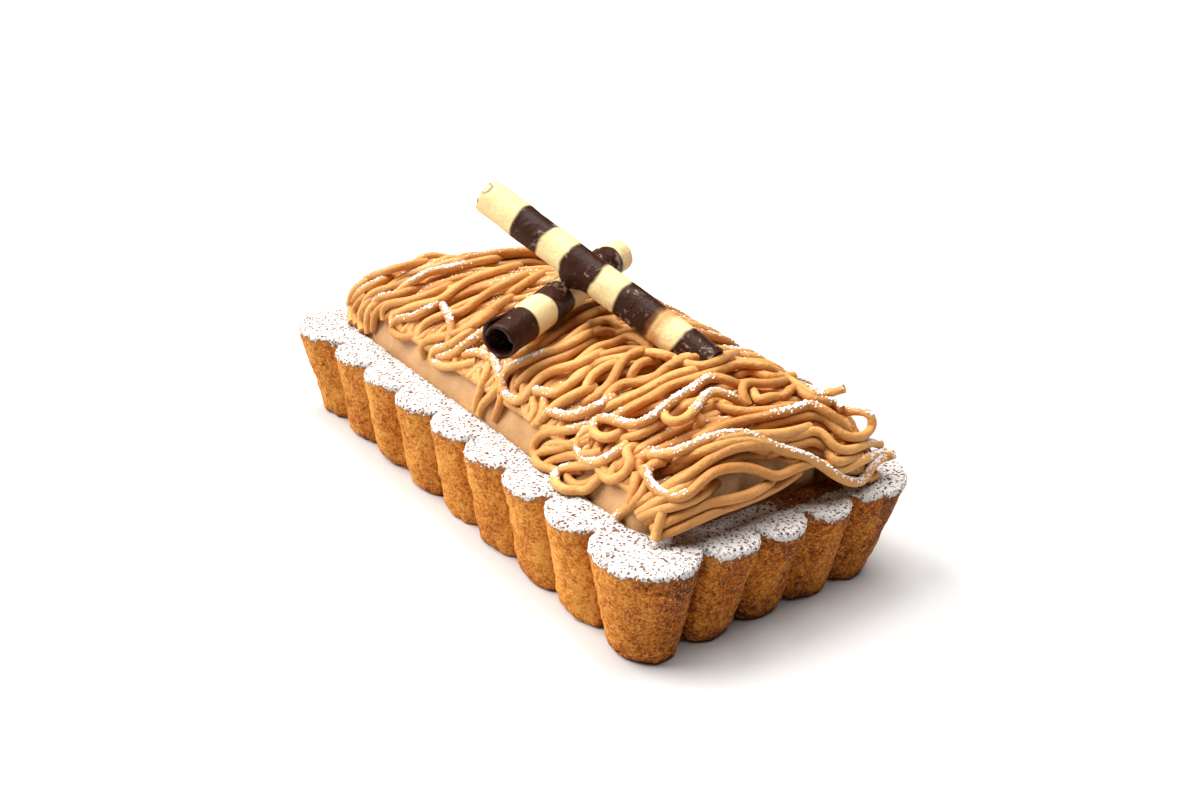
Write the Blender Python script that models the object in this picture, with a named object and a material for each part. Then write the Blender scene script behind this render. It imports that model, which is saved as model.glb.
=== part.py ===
import math
import random

import bmesh
import bpy
from mathutils import Vector

# All lengths below are in millimetres; makeObject turns them into metres.
# The long sides of the shell run along X, the short ends along Y, and it stands on z = 0.
MM = 0.001
CLEARANCE = 0.3

# Fluted pastry shell
SHELL_HEIGHT = 20.3
LONG_LOBES = 7
END_LOBES = 3
LOBE_STEPS = 6
CORNER_STEPS = 10
EDGE_ROUND = 0.7
# x and y of the valleys between lobes, lobe pitch, how far a lobe stands out, corner ellipse
RIM = dict(valleyX=56.6, valleyY=31.0, longPitch=12.0, endPitch=11.6, bulge=3.8,
           cornerX=50.4, cornerY=25.9, cornerRx=9.2, cornerRy=10.0, shift=-0.6)
FOOT = dict(valleyX=53.4, valleyY=27.0, longPitch=12.6, endPitch=12.1, bulge=2.7,
            cornerX=50.1, cornerY=23.8, cornerRx=6.0, cornerRy=6.0, shift=0.0)
CAVITY_X = 49.8
CAVITY_Y = 24.8
CAVITY_CORNER = 6.0
CAVITY_SLOPE = 2.0
FLOOR_THICKNESS = 4.0

# Cream that fills the shell and stands up as a steep bank with a flatter top
CREAM_EDGE = 19.4
CREAM_TOP = 33.0
CREAM_BANK = 6.6
CREAM_BANK_WIDTH = 2.3
CREAM_POWER = 1.8
CREAM_LUMP_DEPTH = 1.6
CREAM_LUMP_PITCH = 9.4
CREAM_RINGS = (0.0, 0.02, 0.05, 0.1, 0.2, 0.4, 0.65, 0.86)
CREAM_FAN = 68

# Outer envelope of the noodle heap
HEAP_LEFT = 54.0
HEAP_RIGHT = 57.3
HEAP_FRONT = 25.6
HEAP_BACK = 28.0
HEAP_BASE = 20.3
HEAP_RISE = 18.1
HEAP_POWER = 2.5
HEAP_BLEND = 3.0
HEAP_EDGE_Z = 25.4
CORE_INSET = 1.35
CORE_SKIRT = 1.2
CORE_RINGS = (0.0, 0.05, 0.12, 0.25, 0.45, 0.75)
CORE_FAN = 40

# Noodles
NOODLE_RADIUS = 0.9
NOODLE_SIDES = 5
NOODLE_TURN_Z = 27.6
PASS_FIRST = -49.5
PASS_PITCH = 4.35
PASS_SAMPLES = 7
PASS_SLANT = 0.24
BUNDLES = (8, 8, 8)
END_STRAND_Z = (28.4, 32.4)
END_STRAND_SAMPLES = 7
SEED = 23
# Strands that lie over the others: x, y and lift above the heap for each bend
LOOSE_STRANDS = (
    ((43.0, -21.5, 0.8), (48.0, -12.0, 0.9), (51.0, -2.0, 0.9), (55.0, 8.0, 0.9), (54.5, 20.0, 0.8)),
    ((51.5, -20.0, 0.6), (54.0, -10.0, 0.6), (55.3, 0.0, 0.6), (55.6, 10.0, 0.6), (54.0, 18.0, 0.6)),
    ((24.3, -24.0, 0.8), (30.0, -20.8, 1.0), (36.5, -16.0, 1.0), (37.5, -7.0, 1.0), (36.5, 2.0, 0.9)),
    ((41.0, -18.0, 0.9), (42.5, -11.0, 1.1), (47.0, -6.0, 1.0), (49.0, 3.0, 0.9)),
    ((32.5, -23.6, 0.7), (35.5, -22.0, 1.1), (38.5, -22.4, 1.0), (37.5, -24.3, 0.6)),
    ((31.5, -2.0, 0.9), (32.5, 9.0, 0.9), (37.0, 15.0, 1.0), (45.0, 17.0, 1.0), (50.0, 21.5, 0.8)),
    ((-40.0, -23.5, 0.8), (-36.0, -20.0, 0.9), (-31.0, -12.5, 0.9), (-28.5, -4.0, 0.8)),
    ((-31.0, -24.2, 0.6), (-22.5, -20.0, 0.9), (-19.0, -12.5, 0.9), (-16.0, -3.0, 0.8)),
    ((-15.0, -23.8, 0.7), (-8.0, -20.0, 0.9), (-6.0, -13.0, 0.9), (-4.5, -6.0, 0.7)),
    ((9.0, -23.6, 0.7), (10.5, -19.0, 0.9), (14.0, -12.5, 0.9), (15.0, -4.0, 0.8)),
)

# Rolled striped sticks: open hollow tubes
STICK_RADIUS = 3.42
STICK_BORE = 2.6
STICK_SIDES = 32
LOWER_FRONT = Vector((7.0, -26.2, 39.1))
LOWER_BACK = Vector((-7.4, 12.5, 45.1))
UPPER_NEAR = Vector((30.9, 4.1, 37.8))
UPPER_FAR = Vector((-19.0, -12.9, 57.0))

for old in list(bpy.data.objects):
    bpy.data.objects.remove(old, do_unlink=True)

rng = random.Random(SEED)
scene = bpy.context.scene
cakeCollection = bpy.data.collections.new("chestnut_tart")
cutterCollection = bpy.data.collections.new("cutters")
scene.collection.children.link(cakeCollection)
scene.collection.children.link(cutterCollection)


def makeMaterial(name, colour, roughness):
    material = bpy.data.materials.new(name)
    material.use_nodes = True
    shader = material.node_tree.nodes["Principled BSDF"]
    shader.inputs["Base Color"].default_value = (*colour, 1.0)
    shader.inputs["Roughness"].default_value = roughness
    material.diffuse_color = (*colour, 1.0)
    return material


def makeObject(name, verts, faces, material, collection=None):
    mesh = bpy.data.meshes.new(name)
    mesh.from_pydata([Vector(v) * MM for v in verts], [], faces)
    mesh.validate()
    made = bpy.data.objects.new(name, mesh)
    (collection or cakeCollection).objects.link(made)
    mesh.materials.append(material)
    work = bmesh.new()
    work.from_mesh(mesh)
    bmesh.ops.triangulate(work, faces=work.faces[:])
    bmesh.ops.recalc_face_normals(work, faces=work.faces[:])
    work.to_mesh(mesh)
    work.free()
    return made


def applyModifiers(target):
    graph = bpy.context.evaluated_depsgraph_get()
    solid = bpy.data.meshes.new_from_object(target.evaluated_get(graph))
    target.modifiers.clear()
    old = target.data
    target.data = solid
    bpy.data.meshes.remove(old)


def bridge(lower, upper, count):
    # Quads between two closed rings that start at the given vertex numbers.
    faces = []
    for k in range(count):
        n = (k + 1) % count
        faces.append((lower + k, lower + n, upper + n, upper + k))
    return faces


def lobeArc(start, end, outward, bulge, steps):
    # Half ellipse from one valley to the next, without its last point.
    middle = (start + end) / 2
    half = (end - start) / 2
    points = []
    for k in range(steps):
        turn = math.pi * k / steps
        points.append(middle - half * math.cos(turn) + outward * bulge * math.sin(turn))
    return points


def cornerArc(start, end, centre, rx, ry, steps):
    # Elliptical arc around a corner that begins and ends exactly on the two valleys.
    first = math.atan2((start.y - centre.y) / ry, (start.x - centre.x) / rx)
    last = math.atan2((end.y - centre.y) / ry, (end.x - centre.x) / rx)
    if last < first:
        last += 2 * math.pi
    ends = [(start - centre).length / Vector((rx * math.cos(first), ry * math.sin(first))).length,
            (end - centre).length / Vector((rx * math.cos(last), ry * math.sin(last))).length]
    points = []
    for k in range(steps):
        t = k / steps
        angle = first + (last - first) * t
        grow = 1 + (ends[0] - 1) * max(0.0, 1 - 4 * t) + (ends[1] - 1) * max(0.0, 4 * t - 3)
        points.append(centre + Vector((rx * math.cos(angle), ry * math.sin(angle))) * grow)
    return points


def shellOutline(level, unevenness):
    # Closed outline, counter-clockwise from the valley beside the front left corner.
    longEnd = level["longPitch"] * LONG_LOBES / 2
    shortEnd = level["endPitch"] * END_LOBES / 2
    shift = level["shift"]
    points = []
    lobe = 0

    def side(first, last, outward, count, bulge):
        nonlocal lobe
        for k in range(count):
            a = first.lerp(last, k / count)
            b = first.lerp(last, (k + 1) / count)
            points.extend(lobeArc(a, b, outward, bulge * unevenness[lobe], LOBE_STEPS))
            lobe += 1

    def corner(start, end, sx, sy):
        centre = Vector((sx * level["cornerX"], sy * level["cornerY"]))
        points.extend(cornerArc(start, end, centre, level["cornerRx"], level["cornerRy"], CORNER_STEPS))

    vx, vy, bulge = level["valleyX"], level["valleyY"], level["bulge"]
    frontLeft, frontRight = Vector((-longEnd, -vy)), Vector((longEnd, -vy))
    backLeft, backRight = Vector((-longEnd, vy)), Vector((longEnd, vy))
    rightFront, rightBack = Vector((vx, -shortEnd + shift)), Vector((vx, shortEnd + shift))
    leftFront, leftBack = Vector((-vx, -shortEnd)), Vector((-vx, shortEnd))
    side(frontLeft, frontRight, Vector((0, -1)), LONG_LOBES, bulge)
    corner(frontRight, rightFront, 1, -1)
    side(rightFront, rightBack, Vector((1, 0)), END_LOBES, bulge)
    corner(rightBack, backRight, 1, 1)
    side(backRight, backLeft, Vector((0, 1)), LONG_LOBES, bulge)
    corner(backLeft, leftBack, -1, 1)
    side(leftBack, leftFront, Vector((-1, 0)), END_LOBES, bulge)
    corner(leftFront, frontLeft, -1, -1)
    return points


def shrink(outline, amount):
    # Moves each outline point inwards along the mean of its two edge normals.
    moved = []
    count = len(outline)
    for k in range(count):
        along = (outline[(k + 1) % count] - outline[k - 1]).normalized()
        moved.append(outline[k] + Vector((-along.y, along.x)) * amount)
    return moved


def roundedRectangle(halfX, halfY, corner, steps=4, straight=10):
    points = []
    for sx, sy, first in ((1, -1, -90), (1, 1, 0), (-1, 1, 90), (-1, -1, 180)):
        centre = Vector((sx * (halfX - corner), sy * (halfY - corner)))
        for k in range(steps + 1):
            angle = math.radians(first + 90 * k / steps)
            points.append(centre + Vector((math.cos(angle), math.sin(angle))) * corner)
        nextCorner = points[-1]
        target = {(1, -1): Vector((halfX, halfY - corner)), (1, 1): Vector((corner - halfX, halfY)),
                  (-1, 1): Vector((-halfX, corner - halfY)), (-1, -1): Vector((halfX - corner, -halfY))}[(sx, sy)]
        runs = straight if sy == sx else straight // 2
        for k in range(1, runs):
            points.append(nextCorner.lerp(target, k / runs))
    return points


def buildShell(material):
    unevenness = [rng.uniform(0.93, 1.07) for _ in range(2 * (LONG_LOBES + END_LOBES))]
    rim = shellOutline(RIM, unevenness)
    foot = shellOutline(FOOT, unevenness)

    def between(t):
        return [f.lerp(r, t) for f, r in zip(foot, rim)]

    count = len(rim)
    low = EDGE_ROUND / SHELL_HEIGHT
    levels = [(0.0, shrink(foot, EDGE_ROUND)),
              (EDGE_ROUND, between(low)),
              (SHELL_HEIGHT - EDGE_ROUND, between(1 - low)),
              (SHELL_HEIGHT, shrink(rim, EDGE_ROUND * 0.8))]
    verts = [(p.x, p.y, z) for z, ring in levels for p in ring]
    faces = [tuple(reversed(range(count)))]
    for k in range(len(levels) - 1):
        faces += bridge(k * count, (k + 1) * count, count)
    mouth = roundedRectangle(CAVITY_X, CAVITY_Y, CAVITY_CORNER)
    floor = roundedRectangle(CAVITY_X - CAVITY_SLOPE, CAVITY_Y - CAVITY_SLOPE, CAVITY_CORNER - CAVITY_SLOPE)
    mouthStart = len(verts)
    verts += [(p.x, p.y, SHELL_HEIGHT) for p in mouth]
    floorStart = len(verts)
    verts += [(p.x, p.y, FLOOR_THICKNESS) for p in floor]
    faces += [tuple(reversed(f)) for f in bridge(floorStart, mouthStart, len(mouth))]
    faces.append(tuple(floorStart + k for k in range(len(floor))))
    made = makeObject("tart_shell", verts, faces, material)
    # The flat rim lies between the last outer ring and the mouth of the cavity.
    work = bmesh.new()
    work.from_mesh(made.data)
    openEdges = [edge for edge in work.edges if len(edge.link_faces) == 1]
    bmesh.ops.triangle_fill(work, use_beauty=True, use_dissolve=False, edges=openEdges)
    bmesh.ops.recalc_face_normals(work, faces=work.faces[:])
    work.to_mesh(made.data)
    work.free()
    return made


def insideDepth(x, y, halfX, halfY, corner):
    # Distance from a point to the edge of a rounded rectangle, positive inside it.
    dx = abs(x) - (halfX - corner)
    dy = abs(y) - (halfY - corner)
    outside = math.hypot(max(dx, 0.0), max(dy, 0.0))
    return corner - outside - min(max(dx, dy), 0.0)


def fanRays(count, halfX, halfY):
    # Rays from a spine on the long axis: straight across the middle, fanned round the ends.
    spine = halfX - halfY
    perimeter = 4 * spine + 4 * (halfY + halfY)
    rays = []
    for k in range(count):
        s = perimeter * (k + 0.5) / count
        if s < 2 * spine:
            rays.append((Vector((-spine + s, 0)), Vector((0, -1))))
        elif s < 2 * spine + 4 * halfY:
            edge = s - 2 * spine
            target = squarePoint(edge, halfY)
            rays.append((Vector((spine, 0)), target.normalized()))
        elif s < 4 * spine + 4 * halfY:
            rays.append((Vector((spine - (s - 2 * spine - 4 * halfY), 0)), Vector((0, 1))))
        else:
            edge = s - 4 * spine - 4 * halfY
            target = squarePoint(edge, halfY)
            rays.append((Vector((-spine, 0)), -target.normalized()))
    return rays


def squarePoint(edge, half):
    # Walks the right half of a square from the middle of its bottom to the middle of its top.
    if edge < half:
        return Vector((edge, -half))
    if edge < 3 * half:
        return Vector((half, edge - 2 * half))
    return Vector((4 * half - edge, half))


def reach(origin, direction, limit, test):
    # Largest distance along a ray at which the test still holds.
    near, far = 0.0, limit
    for _ in range(40):
        middle = (near + far) / 2
        spot = origin + direction * middle
        if test(spot.x, spot.y):
            near = middle
        else:
            far = middle
    return near


def creamDepth(x, y):
    depth = insideDepth(x, y, CAVITY_X - CLEARANCE, CAVITY_Y - CLEARANCE, CAVITY_CORNER - CLEARANCE)
    if x > 30:
        lumps = abs(math.sin(math.pi * (y + 1.5) / CREAM_LUMP_PITCH))
        depth -= CREAM_LUMP_DEPTH * (1 - lumps) * min(1.0, (x - 30) / 15)
    return depth


def creamHeight(x, y):
    depth = max(0.0, creamDepth(x, y))
    bank = CREAM_BANK * (1 - math.exp(-depth / CREAM_BANK_WIDTH))
    crown = min(1.0, depth / CAVITY_Y)
    dome = (CREAM_TOP - CREAM_EDGE - CREAM_BANK) * (1 - (1 - crown) ** CREAM_POWER) ** (1 / CREAM_POWER)
    return CREAM_EDGE + bank + dome


def buildCream(material):
    rays = fanRays(CREAM_FAN, CAVITY_X, CAVITY_Y)

    def cavityReach(origin, direction, depth):
        return reach(origin, direction, 60, lambda x, y: insideDepth(
            x, y, CAVITY_X, CAVITY_Y, CAVITY_CORNER) > depth)

    slope = CAVITY_SLOPE / (SHELL_HEIGHT - FLOOR_THICKNESS)
    lowDepth = CLEARANCE + CAVITY_SLOPE
    highDepth = CLEARANCE + slope * (SHELL_HEIGHT - CREAM_EDGE)
    verts = []
    for origin, direction in rays:
        low = origin + direction * cavityReach(origin, direction, lowDepth)
        verts.append((low.x, low.y, FLOOR_THICKNESS + CLEARANCE))
    edge = [cavityReach(origin, direction, highDepth) for origin, direction in rays]
    for f in CREAM_RINGS:
        for (origin, direction), r in zip(rays, edge):
            p = origin + direction * r * (1 - f)
            verts.append((p.x, p.y, creamHeight(p.x, p.y)))
    rings = len(CREAM_RINGS) + 1
    faces = [tuple(reversed(range(CREAM_FAN)))]
    for k in range(rings - 1):
        faces += bridge(k * CREAM_FAN, (k + 1) * CREAM_FAN, CREAM_FAN)
    faces.append(tuple((rings - 1) * CREAM_FAN + k for k in range(CREAM_FAN)))
    return makeObject("chestnut_cream", verts, faces, material)


def heapHeight(x, y):
    width = HEAP_FRONT if y < 0 else HEAP_BACK
    acrossX = (HEAP_LEFT + x) if x < 0 else (HEAP_RIGHT - x)
    acrossX *= width / 26
    acrossY = width - abs(y)
    blend = math.exp(-acrossX / HEAP_BLEND) + math.exp(-acrossY / HEAP_BLEND)
    depth = min(width, max(0.0, -math.log(blend) * HEAP_BLEND))
    return HEAP_BASE + HEAP_RISE * (1 - (1 - depth / width) ** HEAP_POWER) ** (1 / HEAP_POWER)


def heapNormal(x, y):
    step = 0.4
    dx = (heapHeight(x + step, y) - heapHeight(x - step, y)) / (2 * step)
    dy = (heapHeight(x, y + step) - heapHeight(x, y - step)) / (2 * step)
    return Vector((-dx, -dy, 1)).normalized()


def heapPoint(x, y, sink):
    return Vector((x, y, heapHeight(x, y))) - heapNormal(x, y) * sink


def buildCore(material):
    rays = fanRays(CORE_FAN, (HEAP_LEFT + HEAP_RIGHT) / 2, HEAP_FRONT)
    shift = Vector(((HEAP_RIGHT - HEAP_LEFT) / 2, 0))
    rays = [(origin + shift, direction) for origin, direction in rays]
    edge = [reach(o, d, 70, lambda x, y: heapHeight(x, y) > HEAP_EDGE_Z) for o, d in rays]
    verts = []
    for (origin, direction), r in zip(rays, edge):
        p = origin + direction * (r - CORE_INSET * 1.3)
        verts.append((p.x, p.y, HEAP_EDGE_Z - CORE_SKIRT))
    for f in CORE_RINGS:
        for (origin, direction), r in zip(rays, edge):
            p = origin + direction * r * (1 - f)
            verts.append(tuple(heapPoint(p.x, p.y, CORE_INSET)))
    rings = len(CORE_RINGS) + 1
    faces = [tuple(reversed(range(CORE_FAN)))]
    for k in range(rings - 1):
        faces += bridge(k * CORE_FAN, (k + 1) * CORE_FAN, CORE_FAN)
    faces.append(tuple((rings - 1) * CORE_FAN + k for k in range(CORE_FAN)))
    return makeObject("noodle_heap", verts, faces, material)


def tube(path, radius, sides):
    # Round strand along a list of points, closed by a flat cap at each end.
    verts = []
    across = None
    for k, point in enumerate(path):
        ahead = path[min(k + 1, len(path) - 1)] - path[max(k - 1, 0)]
        ahead.normalize()
        if across is None:
            across = ahead.orthogonal().normalized()
        across = (across - ahead * across.dot(ahead)).normalized()
        other = ahead.cross(across)
        for j in range(sides):
            turn = 2 * math.pi * j / sides
            verts.append(point + (across * math.cos(turn) + other * math.sin(turn)) * radius)
    faces = [tuple(reversed(range(sides)))]
    for k in range(len(path) - 1):
        faces += bridge(k * sides, (k + 1) * sides, sides)
    faces.append(tuple((len(path) - 1) * sides + j for j in range(sides)))
    return verts, faces


def wallPoint(x, z, side):
    # Point of the heap's front (side -1) or back (side 1) wall at the given height.
    y = side * reach(Vector((x, 0)), Vector((0, side)), 40, lambda px, py: heapHeight(px, py) > z)
    return Vector((x, y, z)) - heapNormal(x, y * 0.995) * NOODLE_RADIUS


def slantAt(x):
    # The crossings lean along X over the middle and run square across at the two ends.
    middle = (HEAP_RIGHT - HEAP_LEFT) / 2
    return PASS_SLANT * (1 - min(1.0, abs(x - middle) / 52) ** 3)


def passPoints(x, side):
    # One crossing of the heap that ends at the turning height on the given side.
    points = []
    slant = slantAt(x)
    ends = [wallPoint(x + slant * way * 25, NOODLE_TURN_Z, way).y for way in (-side, side)]
    sway = rng.uniform(-0.7, 0.7)
    for k in range(PASS_SAMPLES):
        t = k / (PASS_SAMPLES - 1)
        y = (ends[0] + ends[1]) / 2 - (ends[1] - ends[0]) / 2 * math.cos(math.pi * t)
        points.append(heapPoint(x + slant * y + sway * math.sin(math.pi * t), y, NOODLE_RADIUS))
    return points


def turnPoints(first, last, side):
    # Loop that hangs down the wall between two crossings.
    points = []
    for k in range(1, 4):
        turn = math.pi * k / 4
        x = (first.x + last.x) / 2 + (first.x - last.x) / 2 * math.cos(turn)
        z = (first.z + last.z) / 2 - abs(first.x - last.x) / 2 * 0.9 * math.sin(turn)
        points.append(wallPoint(x, z, side))
    return points


def bundlePath(firstPass, count):
    path = []
    side = 1
    for k in range(count):
        crossing = passPoints(PASS_FIRST + PASS_PITCH * (firstPass + k), side)
        if path:
            path += turnPoints(path[-1], crossing[0], -side)
        path += crossing
        side = -side
    return path


def endPath(z, side):
    # Strand across an end of the heap at one height.
    points = []
    dip = rng.uniform(0.2, 0.6)
    front = wallPoint(side * 30, z + 1, -1).y + 2
    back = wallPoint(side * 30, z + 1, 1).y - 2
    for k in range(END_STRAND_SAMPLES):
        t = k / (END_STRAND_SAMPLES - 1)
        y = front + (back - front) * t
        level = z - dip * math.sin(2 * math.pi * t)
        x = side * reach(Vector((0, y)), Vector((side, 0)), 70, lambda px, py: heapHeight(px, py) > level)
        points.append(Vector((x, y, level)) - heapNormal(x * 0.998, y) * NOODLE_RADIUS)
    return points


def loosePath(bends):
    # Smooth curve through the bends, laid over the heap.
    path = []
    steps = 3
    for k in range(len(bends) - 1):
        before = bends[max(k - 1, 0)]
        a, b = bends[k], bends[k + 1]
        after = bends[min(k + 2, len(bends) - 1)]
        for j in range(steps + (k == len(bends) - 2)):
            t = j / steps
            mixed = [0.5 * (2 * a[i] + (b[i] - before[i]) * t
                            + (2 * before[i] - 5 * a[i] + 4 * b[i] - after[i]) * t * t
                            + (3 * a[i] - before[i] - 3 * b[i] + after[i]) * t ** 3) for i in range(3)]
            path.append(heapPoint(mixed[0], mixed[1], NOODLE_RADIUS - mixed[2]))
    return path


def keepOuterBody(target):
    # Drops sealed hollows and loose scraps left by fusing: only the widest surface stays.
    work = bmesh.new()
    work.from_mesh(target.data)
    bmesh.ops.dissolve_degenerate(work, dist=1e-7, edges=work.edges[:])
    left = set(work.faces)
    bodies = []
    while left:
        grown = {left.pop()}
        front = list(grown)
        while front:
            face = front.pop()
            for edge in face.edges:
                for other in edge.link_faces:
                    if other in left:
                        left.discard(other)
                        grown.add(other)
                        front.append(other)
        bodies.append(grown)
    bodies.sort(key=len)
    scraps = [face for body in bodies[:-1] for face in body]
    bmesh.ops.delete(work, geom=scraps, context="FACES")
    bmesh.ops.triangulate(work, faces=work.faces[:])
    work.to_mesh(target.data)
    work.free()


def buildHeap(material):
    heap = buildCore(material)
    strands = bpy.data.collections.new("noodles")
    cutterCollection.children.link(strands)
    paths = []
    firstPass = 0
    for count in BUNDLES:
        paths.append(bundlePath(firstPass, count))
        firstPass += count
    paths += [endPath(z, side) for side in (-1, 1) for z in END_STRAND_Z]
    paths += [loosePath(bends) for bends in LOOSE_STRANDS]
    for k, path in enumerate(paths):
        verts, faces = tube(path, NOODLE_RADIUS, NOODLE_SIDES)
        makeObject(f"noodle_{k:02d}", verts, faces, material, strands)
    join = heap.modifiers.new("fuse", "BOOLEAN")
    join.operation = "UNION"
    join.operand_type = "COLLECTION"
    join.collection = strands
    join.solver = "EXACT"
    applyModifiers(heap)
    for strand in list(strands.objects):
        bpy.data.objects.remove(strand, do_unlink=True)
    bpy.data.collections.remove(strands)
    return heap


def stickTube(name, start, end, material, outer, bore, collection=None):
    # Straight tube between two points; without a bore it is a solid rod.
    axis = (end - start).normalized()
    across = axis.orthogonal().normalized()
    other = axis.cross(across)

    def ring(centre, radius):
        turns = [2 * math.pi * k / STICK_SIDES for k in range(STICK_SIDES)]
        return [centre + (across * math.cos(t) + other * math.sin(t)) * radius for t in turns]

    n = STICK_SIDES
    if bore:
        verts = ring(start, outer) + ring(end, outer) + ring(end, bore) + ring(start, bore)
        faces = bridge(0, n, n) + bridge(n, 2 * n, n) + bridge(2 * n, 3 * n, n) + bridge(3 * n, 0, n)
    else:
        verts = ring(start, outer) + ring(end, outer)
        faces = bridge(0, n, n) + [tuple(reversed(range(n))), tuple(range(n, 2 * n))]
    made = makeObject(name, verts, faces, material, collection)
    return made


def cutAway(target, cutter):
    cutter.hide_render = True
    cutter.display_type = "WIRE"
    cut = target.modifiers.new(cutter.name, "BOOLEAN")
    cut.operation = "DIFFERENCE"
    cut.object = cutter
    cut.solver = "EXACT"
    applyModifiers(target)


def cutPocket(target, name, start, end, material):
    # Hollows the heap around a stick so that the two never touch.
    axis = (end - start).normalized() * CLEARANCE
    cutAway(target, stickTube(name, start - axis, end + axis, material,
                              STICK_RADIUS + CLEARANCE, 0, cutterCollection))


def cutBed(target, filling):
    # Shapes the underside of the heap to the cream it lies on, a clearance away.
    bed = filling.copy()
    bed.data = filling.data.copy()
    bed.name = "cream_bed"
    cutterCollection.objects.link(bed)
    for vertex in bed.data.vertices:
        vertex.co += vertex.normal * CLEARANCE * 1.15 * MM
    cutAway(target, bed)


pastry = makeMaterial("shortcrust_pastry", (0.45, 0.19, 0.05), 0.85)
cream = makeMaterial("chestnut_cream", (0.56, 0.33, 0.15), 0.6)
noodle = makeMaterial("chestnut_noodle", (0.52, 0.26, 0.09), 0.55)
chocolate = makeMaterial("striped_chocolate", (0.05, 0.02, 0.012), 0.4)

shell = buildShell(pastry)
filling = buildCream(cream)
heap = buildHeap(noodle)
lowerStick = stickTube("lower_stick", LOWER_FRONT, LOWER_BACK, chocolate, STICK_RADIUS, STICK_BORE)
upperStick = stickTube("upper_stick", UPPER_NEAR, UPPER_FAR, chocolate, STICK_RADIUS, STICK_BORE)
cutBed(heap, filling)
cutPocket(heap, "lower_pocket", LOWER_FRONT, LOWER_BACK, noodle)
cutPocket(heap, "upper_pocket", UPPER_NEAR, UPPER_FAR, noodle)
keepOuterBody(heap)

for made in cakeCollection.objects:
    spots = [vertex.co / MM for vertex in made.data.vertices]
    low = [round(min(spot[i] for spot in spots), 2) for i in range(3)]
    high = [round(max(spot[i] for spot in spots), 2) for i in range(3)]
    print(made.name, "triangles", len(made.data.polygons), "from", low, "to", high)
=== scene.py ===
import math
import random

import bmesh
import bpy
import numpy as np
from mathutils import Matrix, Vector


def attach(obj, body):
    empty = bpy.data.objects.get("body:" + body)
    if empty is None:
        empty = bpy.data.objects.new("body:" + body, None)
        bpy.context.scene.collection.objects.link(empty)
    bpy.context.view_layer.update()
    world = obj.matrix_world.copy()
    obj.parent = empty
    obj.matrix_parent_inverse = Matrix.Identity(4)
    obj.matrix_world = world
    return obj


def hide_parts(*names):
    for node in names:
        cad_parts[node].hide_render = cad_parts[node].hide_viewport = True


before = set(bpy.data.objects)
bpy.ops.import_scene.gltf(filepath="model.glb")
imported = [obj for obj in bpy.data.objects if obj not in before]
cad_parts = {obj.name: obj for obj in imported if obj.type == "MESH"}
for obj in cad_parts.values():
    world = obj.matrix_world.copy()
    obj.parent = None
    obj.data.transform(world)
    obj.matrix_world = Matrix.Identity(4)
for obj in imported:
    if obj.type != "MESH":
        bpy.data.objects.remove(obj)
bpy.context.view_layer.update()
mm = 0.001


# Helpers

def linear(hexColour):
    # sRGB hex to the linear values that a shader takes
    parts = [int(hexColour[k:k + 2], 16) / 255 for k in (1, 3, 5)]
    return tuple(p / 12.92 if p <= 0.04045 else ((p + 0.055) / 1.055) ** 2.4 for p in parts) + (1.0,)


def perMm(size):
    # texture scale for a pattern whose features are size millimetres across
    return 1 / (size * mm)


def addNode(tree, kind, inputs=None, **settings):
    # one node: its settings, then its sockets, each set to a value or linked to a socket or a node's first output
    node = tree.nodes.new(kind)
    for name, value in settings.items():
        setattr(node, name, value)
    for name, value in (inputs or {}).items():
        if isinstance(value, bpy.types.Node):
            value = next(output for output in value.outputs if output.enabled)
        if isinstance(value, bpy.types.NodeSocket):
            tree.links.new(value, node.inputs[name])
        else:
            node.inputs[name].default_value = value
    return node


def fillRamp(ramp, stops):
    # colour ramp from (position, hex) pairs
    while len(ramp.elements) > 1:
        ramp.elements.remove(ramp.elements[-1])
    for k, (position, colour) in enumerate(stops):
        stop = ramp.elements[0] if k == 0 else ramp.elements.new(position)
        stop.position = position
        stop.color = linear(colour)


def startMaterial(name):
    material = bpy.data.materials.new(name)
    material.use_nodes = True
    tree = material.node_tree
    return material, tree, tree.nodes["Principled BSDF"], tree.nodes.new("ShaderNodeTexCoord")


def latticeValue(ix, iy, iz, seed):
    # repeatable value from -1 to 1 at each corner of an integer lattice
    with np.errstate(over="ignore"):
        h = (ix * 374761393 + iy * 668265263 + iz * 2147483647 + seed * 1274126177).astype(np.int64)
        h = (h ^ (h >> 13)) * 1274126177
        h = h ^ (h >> 16)
    return (h & 0xFFFFFF).astype(float) / 0x7FFFFF - 1.0


def softNoise(points, size, seed):
    # smooth noise from -1 to 1, with features about size across
    p = np.asarray(points, float) / size + seed * 7.31
    cell = np.floor(p).astype(np.int64)
    f = p - cell
    f = f * f * (3 - 2 * f)
    total = np.zeros(len(p))
    for dx in (0, 1):
        for dy in (0, 1):
            for dz in (0, 1):
                weight = (np.where(dx, f[:, 0], 1 - f[:, 0]) * np.where(dy, f[:, 1], 1 - f[:, 1])
                          * np.where(dz, f[:, 2], 1 - f[:, 2]))
                total += weight * latticeValue(cell[:, 0] + dx, cell[:, 1] + dy, cell[:, 2] + dz, seed)
    return total


def stepUp(values, low, high):
    # smooth ramp from 0 at low to 1 at high
    t = np.clip((np.asarray(values, float) - low) / (high - low), 0, 1)
    return t * t * (3 - 2 * t)


def ringFaces(rows, count):
    # quads between rows of count vertices each, and one face over either end
    faces = []
    for r in range(rows - 1):
        for k in range(count):
            n = (k + 1) % count
            faces.append((r * count + k, r * count + n, (r + 1) * count + n, (r + 1) * count + k))
    return faces + [tuple(reversed(range(count))), tuple((rows - 1) * count + k for k in range(count))]


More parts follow.
